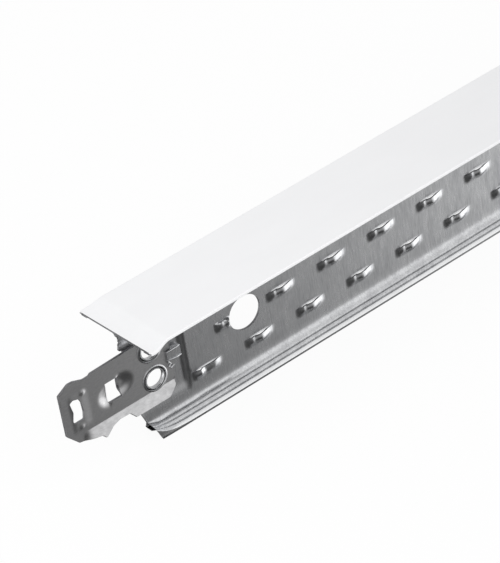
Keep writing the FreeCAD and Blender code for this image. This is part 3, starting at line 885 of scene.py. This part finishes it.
@dataclass(frozen=True)
class TeeProfile:
    """The roll-formed strip: web, flanges, bulb, and what holds the clips."""

    joggle: Joggle = Joggle()
    stitch: Stitch = Stitch()
    first_stitch: Stitch = Stitch(
        ridge=((-4.3, 0), (-2.2, 0.95), (-0.8, 0.33), (2.0, 0.5), (4.0, 0)))
    rows: StitchRows = StitchRows()
    flange_half: float = 11.75
    root: float = 0.7
    head_inset: float = 0.4
    head_depth: float = 5.9
    end_inset: float = 1.5
    slant_depth: float = 22.0
    foot_inset: float = 5.3
    panel_shift: float = 0.6
    panel_length: float = 15.6
    panel_slope: float = 1.6
    panel_top: Pair = (3.5, 4.4)
    panel_bottom: Pair = (22.3, 26.3)
    head_curl: float = 1.0
    hole_inset: float = 34.2
    hole_depth: float = 14.8
    hole_radius: float = 4.4
    cut_stitch_inset: float = 29.6
    collar_bore: float = 2.3
    collar_rim: float = 3.35
    collar_root: float = 2.95
    keeper_inset: float = 11.9
    keeper_top: float = 12.9
    keeper_bottom: float = 15.2
    keeper_foot: float = 13.1
    bulb_half: float = 3.2
    bulb_height: float = 3.9
    bulb_top: float = 6.1
    bulb_gap: float = 0.03
    crush_run: float = 2.2
    crease_end: Pair = (12.0, 48.0)
    torn: Pair = (3.4, 11.0)
    torn_across: Pair = (-2.6, 1.0)
    torn_below: float = 0.36

    @property
    def flange_bottom(self) -> float:
        """Return the height of the flanges' underside."""
        return TEE_HEIGHT - CAP - STRIP

    def slant(self, up: float) -> float:
        """Return the inset of the slanted end at a height."""
        start = TEE_HEIGHT - self.slant_depth
        return self.end_inset + (self.foot_inset - self.end_inset) * (start - up) / start

    def end_form(self, inset: Array, up: Array) -> Array:
        """Return how far the web is pressed to the far side near the left end."""
        depth = TEE_HEIGHT - up
        panel = 1 - ease(self.panel_length, self.panel_length + self.panel_slope, inset)
        panel = panel * ease(*self.panel_top, depth) * (1 - ease(*self.panel_bottom, depth))
        curl = ease(3.9, 4.7, depth) * (1 - ease(4.9, 6.9, depth)) * (1 - ease(3.4, 5.4, inset))
        return self.panel_shift * panel - self.head_curl * curl

    def shift(self, inset: Array, up: Array) -> Array:
        """Return the Y of the web's middle at points of the side view."""
        out = self.end_form(inset, up) - self.end_form(FACE_LENGTH - inset, up)
        u = inset - self.cut_stitch_inset
        v = up - self.rows.upper.lip
        bulge = np.where(v <= 0, self.stitch.bulge(u, v),
                         self.stitch.bulge(u, 0.0) * (1 - ease(0.0, 0.3, v)))
        from_hole = np.hypot(inset - self.hole_inset, up - (TEE_HEIGHT - self.hole_depth))
        bulge = bulge * ease(self.hole_radius + 0.1, self.hole_radius + 0.6, from_hole)
        return out - bulge

    def outline(self) -> list[Pair]:
        """Return the web's outline in its side view, from the left foot round."""
        foot = self.bulb_height - STRIP
        crown = TEE_HEIGHT - CAP - STRIP / 2
        head = TEE_HEIGHT - self.head_depth
        start = TEE_HEIGHT - self.slant_depth
        left = [
            (self.foot_inset - (self.foot_inset - self.end_inset) * foot / start, foot),
            (self.end_inset, start, 1.0),
            (self.end_inset, head - 0.95, 0.2), (self.head_inset + 0.1, head - 0.4, 0.4),
            (self.head_inset - 0.25, head + 0.5, 0.4), (self.head_inset - 0.15, head + 1.4, 0.2),
            (self.head_inset + 0.5, head + 1.65, 0.15),
            (self.head_inset + 0.1, crown - self.joggle.depth - 0.1),
            (self.joggle.tongue, crown - self.joggle.depth - 0.1),
            (self.joggle.tongue + self.joggle.run + 0.6, crown),
        ]
        return fillet_loop(left + mirrored(left, HALF_LENGTH), 6)[::-1]

    def web(self) -> MeshDraft:
        """Build the web with its holes, panels and open stitch windows."""
        places = self.rows.places(self.stitch.pitch)

        def fine_near_ends(spot: Pair) -> float:
            """Return the spacing that the outline needs at a point."""
            return 0.5 if min(spot[0], FACE_LENGTH - spot[0]) < 20 else 12.0

        loops = [spaced(self.outline(), fine_near_ends)]
        for depths, inset, radius, steps in (
                ([self.hole_depth], self.hole_inset, self.hole_radius, 72),
                (CLINCH_DEPTHS, CLINCH_INSET, self.collar_root, 56)):
            for middle in (inset, FACE_LENGTH - inset):
                for depth in depths:
                    loops.append(circle_loop((middle, TEE_HEIGHT - depth), radius, steps))
        loops += [self.stitch.window(middle, lip) for middle, lip in places]
        grid = lattice(spread((0.7, 5.0, 0.4), (5.5, 15.3, 1.6), (15.5, 17.5, 0.28)),
                       spread((4.5, 6.9, 1.2), (6.9, 9.1, 0.28), (9.8, 24.5, 1.5),
                              (25.0, 31.0, 0.3)))
        patch = lattice(np.arange(25.2, 30.6, 0.3),
                        np.append(np.arange(15.2, 18.4, 0.32), [18.46, 18.55, 18.65, 18.76, 18.9]))
        turned = grid * (-1, 1) + (FACE_LENGTH, 0)
        inner = np.concatenate([grid, turned, patch])
        inner = inner[inside(inner, loops)]
        boxes = np.array([(m - self.stitch.half_window, m + self.stitch.half_window,
                           lip + self.stitch.window_bottom, lip + self.stitch.window_top)
                          for m, lip in places])

        def on_window(x: float, z: float) -> bool:
            """Tell whether a rim belongs to a stitch's window."""
            left, right, low, high = (boxes + (-MM, MM, -MM, MM)).T
            return bool(np.any((x > left) & (x < right) & (z > low) & (z < high)))

        def surfaces(flat: Array) -> Skins:
            """Return the near and the far surface of the web."""
            middle = self.shift(*flat.T)
            return skins(flat, middle - WEB_HALF, middle + WEB_HALF)

        return plate(loops, inner, surfaces, on_window)

    def flanges(self) -> MeshDraft:
        """Build both flanges with the bends where they leave the web."""
        bottom, top = self.flange_bottom, self.flange_bottom + STRIP
        reach = WEB_HALF + self.root
        bend = [(reach - self.root * math.sin(a), bottom - self.root + self.root * math.cos(a))
                for a in np.linspace(0, math.pi / 2, 6)]
        half = [(self.flange_half, top), (self.flange_half, bottom), *bend]
        return self.joggle.carry(half + mirrored(half))

    def bulb_section(self, state: Bulb) -> Array:
        """Return the outside of the hollow bulb, from the far root round below.

        Args:
            state: Which of its sections to return.

        Returns:
            The section's points as Y and Z.
        """
        plain = [
            (0.28, self.bulb_top), (0.305, 5.2), (0.34, 4.7), (0.41, 4.18), (0.52, 3.8),
            (0.63, 3.56), (0.78, 3.3), (1.08, 2.99), (1.4, 2.68), (1.74, 2.36, 0.08),
            (1.4, 2.06, 0.05), (1.82, 2.0, 0.08), (2.4, 1.5, 0.1), (2.1, 1.22, 0.05),
            (2.58, 1.16, 0.08), (3.12, 0.64, 0.12), (self.bulb_half, 0.54, 0.08),
            (self.bulb_half, 0.0, 0.04), (2.5, 0.0), (1.3, 0.0),
        ]
        near = list(plain)
        if state is Bulb.CREASED:
            near[6:9] = [(0.86, 3.2), (0.82, 3.0), (1.12, 2.93)]
        elif state is Bulb.CRUSHED:
            near[1:-2] = [
                (0.31, 5.3), (0.32, 4.9), (0.33, 4.6), (0.36, 4.3), (0.42, 4.08),
                (0.65, 3.93), (1.1, 3.86), (1.6, 3.84), (2.0, 3.84, 0.1), (1.9, 3.7, 0.05),
                (2.1, 3.65, 0.08), (2.45, 3.62, 0.1), (2.35, 3.46, 0.05), (2.52, 3.41, 0.08),
                (2.86, 3.15, 0.12), (2.95, 3.0, 0.1), (3.08, 0.0, 0.04),
            ]
        return np.array(fillet_loop(plain + mirrored(near), 4))

    def bulb(self) -> MeshDraft:
        """Build the hollow bulb, whose creases run together at its crushed ends."""
        draft = MeshDraft()
        shells = []
        for inward in (0.0, STRIP):
            states = []
            for state in Bulb:
                outer = self.bulb_section(state)
                tangent = np.roll(outer, -1, axis=0) - np.roll(outer, 1, axis=0)
                tangent /= np.linalg.norm(tangent, axis=1)[:, None]
                inner = outer + np.c_[tangent[:, 1], -tangent[:, 0]] * inward
                lean = np.sign(outer[:, 0])
                inner[:, 0] = np.maximum(inner[:, 0] * lean, self.bulb_gap) * lean
                inner[:, 1] = np.clip(inner[:, 1], inward, self.bulb_top)
                states.append(inner)
            shells.append(states)
        reach = [0.0, 0.3, 0.7, 1.2, 1.8, 2.5, 3.3, 4.2, 5.3, 6.7, 8.5, 11.0, 15.0, 20.0,
                 26.0, 33.0, 41.0, 50.0]
        ends = [(t, End.LEFT) for t in reach] + [(t, End.RIGHT) for t in reversed(reach)]
        starts = []
        for crushed, creased, plain in shells:
            across, up = crushed.T
            low = (up < self.torn_below) & (across > self.torn_across[0]) & (
                across < self.torn_across[1])
            rings = []
            for travelled, end in ends:
                share = math.exp(-travelled / self.crush_run)
                fading = float(1 - ease(*self.crease_end, travelled))
                rolled = creased * fading + plain * (1 - fading)
                shell = crushed * share + rolled * (1 - share)
                back = self.torn[0] * low * max(1 - travelled / self.torn[1], 0.0)
                ring = [(end.value * (self.slant(z) + travelled + more - HALF_LENGTH),
                         end.value * y, z) for (y, z), more in zip(shell, back)]
                rings.append(ring if end is End.LEFT else ring[::-1])
            starts.append(draft.tube(rings))
        for place in (0, -1):
            draft.bridge(starts[0][place], starts[1][place], len(shells[0][0]), cut=True)
        return draft

    def collar(self, depth: float) -> MeshDraft:
        """Build one collar of the left end, rolled over the clip."""
        draft = MeshDraft()
        bore, rim = self.collar_bore, self.collar_rim
        face = -WEB_HALF
        back = self.panel_shift
        profile = [
            (self.collar_root, back + WEB_HALF), (bore + 0.38, back + 0.27),
            (bore + 0.12, back + 0.12), (bore, back - 0.15), (bore, -0.2), (bore + 0.04, -0.42),
            (bore + 0.12, -0.5), (bore + 0.26, -0.5), (bore + 0.33, -0.4), (bore + 0.4, -0.2),
            (bore + 0.54, -0.2), (bore + 0.6, -0.4), (bore + 0.68, -0.5),
            (rim - 0.16, -0.5), (rim - 0.04, -0.44), (rim, face),
            (bore + 0.22, face), (bore + 0.24, back - 0.35), (self.collar_root, back - WEB_HALF),
        ]
        centre = CLINCH_INSET - HALF_LENGTH
        up = TEE_HEIGHT - depth
        rings = [[(centre + r * math.cos(angle), y, up + r * math.sin(angle))
                  for r, y in profile] for angle in turns(56)]
        draft.tube(rings + [rings[0]])
        return draft

    def keeper(self) -> MeshDraft:
        """Build the tab that lies over the clip's tail, and the small hook below it."""
        draft = MeshDraft()
        left, right = self.keeper_inset - 0.1, self.panel_length
        top, bottom = TEE_HEIGHT - self.keeper_top, TEE_HEIGHT - self.keeper_bottom
        loop = spaced(fillet_loop([(left, top, 0.3), (left, bottom, 0.3), (right, bottom, 0.1),
                                   (right, top, 0.1)], 4), lambda _: 0.3)
        grid = lattice(np.arange(left, right, 0.3), np.arange(bottom + 0.2, top, 0.4))

        def surfaces(flat: Array) -> Skins:
            """Return the near and the far surface of the tab over the clip."""
            near = -WEB_HALF - 0.02 - STRIP
            foot = self.panel_shift * ease(self.keeper_foot, self.keeper_foot + 0.2, flat[:, 0])
            return skins(flat, near, near + STRIP + foot)

        tab = plate([loop[::-1]], grid[inside(grid, [loop])], surfaces)
        tab.cut = [False] * len(tab.cut)
        draft.add(tab)
        bead = -WEB_HALF - STRIP - 0.06
        edges = (
            ([(left, 12.95, bead), (12.6, 12.8, bead - 0.12), (13.4, 12.86, bead - 0.02),
              (14.2, 12.72, bead - 0.14), (15.4, 12.7, bead)], 0.28),
            ([(left + 0.1, 15.1, bead), (13.2, 15.24, bead - 0.06), (14.4, 15.28, bead - 0.12),
              (15.5, 15.3, bead)], 0.28),
            ([(left + 0.1, 15.1, bead), (left + 0.1, 15.7, bead + 0.02),
              (left + 0.65, 16.3, bead + 0.08), (left + 0.1, 16.8, bead + 0.08),
              (left + 0.5, 17.3, bead + 0.08), (left + 1.5, 16.95, bead + 0.1)], 0.26),
        )
        for path, radius in edges:
            draft.add(self.bead([(x - HALF_LENGTH, y, TEE_HEIGHT - depth)
                                 for x, depth, y in path], radius))
        return draft

    def bead(self, path: Sequence[Point], radius: float) -> MeshDraft:
        """Build a turned-up edge: a thin round bead along a path.

        Args:
            path: The points of its middle.
            radius: The bead's radius.

        Returns:
            The closed bead.
        """
        draft = MeshDraft()
        centres = [Vector(p) for p in path]
        rings = []
        for place, centre in enumerate(centres):
            before = centres[max(place - 1, 0)]
            after = centres[min(place + 1, len(centres) - 1)]
            along = (after - before).normalized()
            side = along.cross(Vector((0, 1, 0))).normalized()
            other = side.cross(along)
            size = radius * (0.6 if place in (0, len(centres) - 1) else 1.0)
            rings.append([tuple(centre + size * (math.cos(a) * side + math.sin(a) * other))
                          for a in turns(10)])
        draft.bar(rings, cut=False)
        return draft

    def build(self, zinc: Material, cut: Material) -> Object:
        """Build the whole profile as one mesh.

        Args:
            zinc: The finish of the strip.
            cut: The finish of its cut edges.

        Returns:
            The finished piece.
        """
        draft = self.web()
        draft.add(self.flanges())
        draft.add(self.bulb())
        for end in End:
            for depth in CLINCH_DEPTHS:
                draft.add(self.collar(depth), end)
            draft.add(self.keeper(), end)
        web = new_object("stitched_profile", draft.mesh("stitched_profile"))
        piece = self.rows.apply(web, self.stitch, self.first_stitch, zinc, cut)
        finish_mesh(piece)
        declare(piece, "tee_profile", Slot.STRIP)
        return piece


@dataclass(frozen=True)
class FaceCap:
    """The painted strip that wraps both flanges and steps down at its ends."""

    joggle: Joggle = Joggle()
    half: float = FACE_HALF
    edge_radius: float = 0.32
    hem_return: float = 2.6
    flat_margin: float = 1.4
    corner_radius: float = 0.8
    corner_band: Pair = (9.5, 11.2)

    def section(self) -> list[Pair]:
        """Return the closed section of the cap at full width."""
        top = TEE_HEIGHT
        low = top - 2 * CAP - STRIP
        edge, inner = self.half, self.half - CAP
        hem = self.half - self.hem_return
        flat = edge - self.flat_margin * self.edge_radius
        side = [(hem, low + CAP), (hem, low, 0.06), (flat, low),
                (edge, low, self.edge_radius), (edge, top, self.edge_radius), (flat, top)]
        under = [(inner, top - CAP, 0.05), (inner, low + CAP, 0.05)]
        return fillet_loop(side + mirrored(side) + mirrored(under) + under, 5)

    def build(self, paint: Material, cut: Material) -> Object:
        """Build the cap.

        Args:
            paint: The finish of its faces.
            cut: The finish of its sheared ends.

        Returns:
            The finished piece.
        """
        def narrow(inset: float, across: float) -> float:
            """Return how far the rounded corners are cut in."""
            gap = max(self.corner_radius - self.joggle.near_end(inset)[1], 0.0)
            room = math.sqrt(max(self.corner_radius ** 2 - gap ** 2, 0))
            return (self.corner_radius - room) * float(ease(*self.corner_band, abs(across)))

        return dressed_piece("white_face_cap", self.joggle.carry(self.section(), narrow),
                             ("face_cap", Slot.PAINT), paint, cut)


@dataclass(frozen=True)
class EndClip:
    """A stamped clip: tip with a waisted slot, latch window, flared lip and two holes."""

    gauge: float = 0.6
    tip: float = -16.9
    tail: float = 13.0
    fold_depth: float = 21.0
    fold_radius: float = 0.7
    fold_lead: float = 0.3
    flare: float = 31.6
    flare_start: Pair = (-12.8, -9.5)
    hole_radius: float = 2.55
    left_ramp: Point = (-4.3, 15.3, 3.3)
    right_ramp: Quad = (-1.3, 14.2, 3.9, 3.3)
    ramp_depth: float = 0.6
    swage_depth: float = 0.09
    nick_depth: float = 0.26
    nicks: tuple[Quad, Quad] = ((-10.9, 10.6, 1.0, 0.2), (-12.6, 18.9, 0.7, 0.16))

    def unfold(self, depth: float) -> float:
        """Return how far down the flat strip a point of the lip lies."""
        return self.fold_depth + (depth - self.fold_depth) / math.cos(math.radians(self.flare))

    def outline(self) -> list[Pair]:
        """Return the flat strip's outline, as inset and depth."""
        low = self.unfold
        return fillet_loop([
            (self.tip, 8.4, 0.3), (-14.0, 6.75, 0.8), (-12.6, 6.8, 0.8), (-10.0, 7.75, 0.8),
            (-8.4, 7.7, 0.2), (-7.9, 7.3, 0.1), (11.6, 6.7, 1.2), (self.tail, 8.0, 1.0),
            (self.tail, 20.0, 0.5), (12.5, low(22.1), 1.2), (9.9, low(23.6), 1.2),
            (0.6, low(23.6), 0.25), (-0.5, low(22.35), 0.4), (-3.4, low(22.3), 0.5),
            (-5.5, low(22.75), 0.4), (-8.0, low(24.0), 0.2), (-8.7, low(23.3), 0.3),
            (-10.8, low(22.95), 0.5), (-14.1, 22.6, 0.3), (self.tip, 19.4, 0.4),
        ], 5)

    def slot(self) -> list[Pair]:
        """Return the waisted slot near the tip."""
        return fillet_loop([
            (-14.5, 11.7, 0.35), (-13.7, 11.2, 0.35), (-12.2, 11.6, 0.5), (-11.6, 13.0, 0.5),
            (-11.5, 15.6, 0.3), (-11.8, 17.4, 0.3), (-14.1, 17.4, 0.3), (-14.5, 16.6, 0.4),
            (-14.05, 14.3, 1.0),
        ], 4)

    def latch(self) -> list[Pair]:
        """Return the latch window."""
        return fillet_loop([
            (-5.0, 11.9, 0.1), (-1.4, 11.9, 0.1), (-1.6, 14.4, 0.8), (-1.2, 17.3, 0.1),
            (-4.9, 17.3, 0.1), (-4.75, 14.6, 0.8),
        ], 4)

    def press(self, inset: Array, depth: Array) -> Array:
        """Return how far the plate is pressed to the far side."""
        x, down, radius = self.left_ramp
        left = np.clip(1 - np.hypot(inset - x, depth - down) / radius, 0, 1)
        left = ease(0.0, 0.8, left) * (1 - ease(-4.7, -4.3, inset))
        x, down, long, high = self.right_ramp
        right = np.clip(1 - np.hypot((inset - x) / long, (depth - down) / high), 0, 1)
        right = ease(0.0, 0.75, right) * ease(-1.9, -1.3, inset)
        swage = (1 - ease(-11.9, -9.3, inset)) * ease(-15.0, -13.9, inset)
        swage = swage * ease(9.6, 11.4, depth) * (1 - ease(18.2, 20.6, depth))
        nicks = sum(share * np.exp(-((inset - x) ** 2 + (depth - down) ** 2) / area)
                    for x, down, share, area in self.nicks)
        return self.ramp_depth * (left + right) - self.swage_depth * swage - (
            self.nick_depth * nicks)

    def surfaces(self, flat: Array) -> Skins:
        """Return the near and the far surface of the folded strip."""
        def middle(inset: Array, depth: Array) -> Array:
            """Return the strip's middle surface."""
            full = np.radians(self.flare) * ease(*self.flare_start, inset)
            full = np.maximum(full, 1e-4)
            bend = self.fold_depth - self.fold_lead
            travelled = np.maximum(depth - bend, 0.0)
            angle = np.minimum(travelled / self.fold_radius, full)
            straight = np.maximum(travelled - full * self.fold_radius, 0.0)
            out = self.fold_radius * (1 - np.cos(angle)) + straight * np.sin(full)
            drop = self.fold_radius * np.sin(angle) + straight * np.cos(full)
            level = np.minimum(depth, bend) + drop
            return np.c_[inset - HALF_LENGTH, self.press(inset, depth) - out,
                         TEE_HEIGHT - level]

        step = 0.02
        inset, depth = flat[:, 0], flat[:, 1]
        along = middle(inset + step, depth) - middle(inset - step, depth)
        down = middle(inset, depth + step) - middle(inset, depth - step)
        normal = np.cross(down, along)
        normal /= np.linalg.norm(normal, axis=1)[:, None]
        centre = middle(inset, depth)
        return centre + normal * self.gauge / 2, centre - normal * self.gauge / 2

    def build(self, end: End, steel: Material, cut: Material) -> Object:
        """Build one clip.

        Args:
            end: The end that it is clinched to.
            steel: The finish of its faces.
            cut: The finish of its sheared edges.

        Returns:
            The finished piece.
        """
        loops = [spaced(loop, lambda _: 0.45) for loop in
                 (self.outline(), self.slot(), self.latch())]
        for depth in CLINCH_DEPTHS:
            loops.append(circle_loop((CLINCH_INSET, depth), self.hole_radius, 40))
        grid = lattice(spread((-16.5, 3.0, 0.35), (3.4, 13.0, 0.8)),
                       spread((7.0, 9.6, 0.8), (9.6, 20.4, 0.35), (20.4, 21.8, 0.12),
                              (22.0, 26.0, 0.5)))
        grid = grid[inside(grid, loops)]
        draft = MeshDraft()
        draft.add(plate(loops, grid, self.surfaces), end)
        node = f"end_clip_{end.name.lower()}"
        return dressed_piece(f"{node}_stamping", draft, (node, Slot.CLIP), steel, cut)


# Studio


@dataclass(frozen=True)
class Studio:
    """The floor, the soft light and the photograph's camera."""

    azimuth: float = -33.81
    elevation: float = 34.88
    roll: float = -9.79
    distance: float = 642.3
    aim_right: float = 29.62
    aim_up: float = 10.35
    focal_pixels: float = 2978.0
    image_height: float = 563.0
    sensor: float = 36.0
    floor_half: float = 4.0
    floor_grey: float = 0.9
    floor_white: float = 0.93
    room_level: float = 0.73
    band_level: float = 0.55
    end_level: float = 2.7
    lamp_size: float = 0.3
    lamp_power: float = 0.2
    lamp_place: Point = (-0.36, 0.0, 0.26)

    def camera(self) -> None:
        """Create the camera and make it the scene's."""
        az, el, roll = (math.radians(a) for a in (self.azimuth, self.elevation, self.roll))
        back = Vector((math.sin(az) * math.cos(el), -math.cos(az) * math.cos(el), math.sin(el)))
        level = Vector((0, 0, 1)).cross(back).normalized()
        rise = back.cross(level)
        right = math.cos(roll) * level + math.sin(roll) * rise
        up = -math.sin(roll) * level + math.cos(roll) * rise
        spot = right * self.aim_right + up * self.aim_up + back * self.distance
        spot += Vector((-HALF_LENGTH, 0, TEE_HEIGHT))
        data = bpy.data.cameras.new("photo_camera")
        data.sensor_fit = "VERTICAL"
        data.sensor_height = self.sensor
        data.lens = self.focal_pixels / self.image_height * self.sensor
        data.clip_start = 0.01
        data.clip_end = 50.0
        camera = new_object("photo_camera", data)
        turn = Matrix((right, up, back)).transposed().to_4x4()
        camera.matrix_world = Matrix.Translation(spot * MM) @ turn
        bpy.context.scene.camera = camera

    def floor(self) -> None:
        """Lay the pale floor, which shows white and keeps the tee's shadow."""
        material, sheet = new_material("pale_floor")
        seen = sheet.add("ShaderNodeLightPath", out="Is Camera Ray")
        grey = (*[self.floor_grey] * 3, 1.0)
        diffuse = sheet.add("ShaderNodeBsdfDiffuse", {"Color": grey})
        white = sheet.add("ShaderNodeEmission", {"Color": (1, 1, 1, 1), "Strength": 1.0})
        both = sheet.add("ShaderNodeMixShader", {
            0: seen * self.floor_white, 1: diffuse, 2: white})
        sheet.add("ShaderNodeOutputMaterial", {"Surface": both})
        mesh = bpy.data.meshes.new("floor")
        corners = ((-1, -1), (1, -1), (1, 1), (-1, 1))
        mesh.from_pydata([(self.floor_half * x, self.floor_half * y, 0) for x, y in corners],
                         [], [(0, 1, 2, 3)])
        mesh.materials.append(material)
        floor = new_object("floor", mesh)
        floor.visible_glossy = False
        floor.visible_shadow = False

    def world(self) -> None:
        """Light the tee by a soft room that is brighter above and towards its two ends."""
        world = bpy.data.worlds.new("soft_room")
        world.use_nodes = True
        world.node_tree.nodes.clear()
        sheet = NodeSheet(world.node_tree)
        spot = sheet.add("ShaderNodeTexCoord", out="Generated")
        along, across, rise = sheet.axes(spot)
        turned = along * sheet.step(across, 0.0, 0.25, 1.0, -1.0)
        ends = sheet.step(turned, 0.36, 0.88, 0.05, self.end_level)
        low = ends + sheet.step(turned, -0.62, -0.4, 0.8, 0.0)
        band = sheet.step(rise, 0.5, 0.95, self.band_level, 0.0)
        high = band * sheet.step(across, -0.45, 0.1, 1.0, 0.0) + self.room_level
        share = sheet.step(rise, -0.36, 0.2, 0.0, 1.0)
        level = low * (1 - share) + high * share
        seen = sheet.add("ShaderNodeLightPath", out="Is Camera Ray")
        strength = level * (1 - seen) + seen
        sheet.add("ShaderNodeOutputWorld", {"Surface": sheet.add(
            "ShaderNodeBackground", {"Color": (1, 1, 1, 1), "Strength": strength})})
        bpy.context.scene.world = world

    def lamp(self) -> None:
        """Hang a soft lamp over the left half."""
        data = bpy.data.lights.new("soft_lamp", "AREA")
        data.shape = "SQUARE"
        data.size = self.lamp_size
        data.energy = self.lamp_power
        new_object("soft_lamp", data).location = self.lamp_place

    def build(self) -> None:
        """Set up the camera, floor and light."""
        scene = bpy.context.scene
        scene.view_settings.view_transform = "Standard"
        self.camera()
        self.floor()
        self.world()
        self.lamp()


def write_sizes() -> None:
    """Update the view layer."""
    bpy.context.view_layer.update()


def main() -> None:
    """Build and dress every piece."""
    logging.basicConfig(level=logging.INFO, format="%(name)s: %(message)s")
    Studio().build()
    zinc = RolledZinc().make()
    cut = ShearedSteel().make()
    steel = StampedSteel().make()
    paint = SatinPaint().make()
    TeeProfile().build(zinc, cut)
    FaceCap().build(paint, cut)
    for end in End:
        EndClip().build(end, steel, cut)
    write_sizes()


if __name__ == "__main__":
    main()
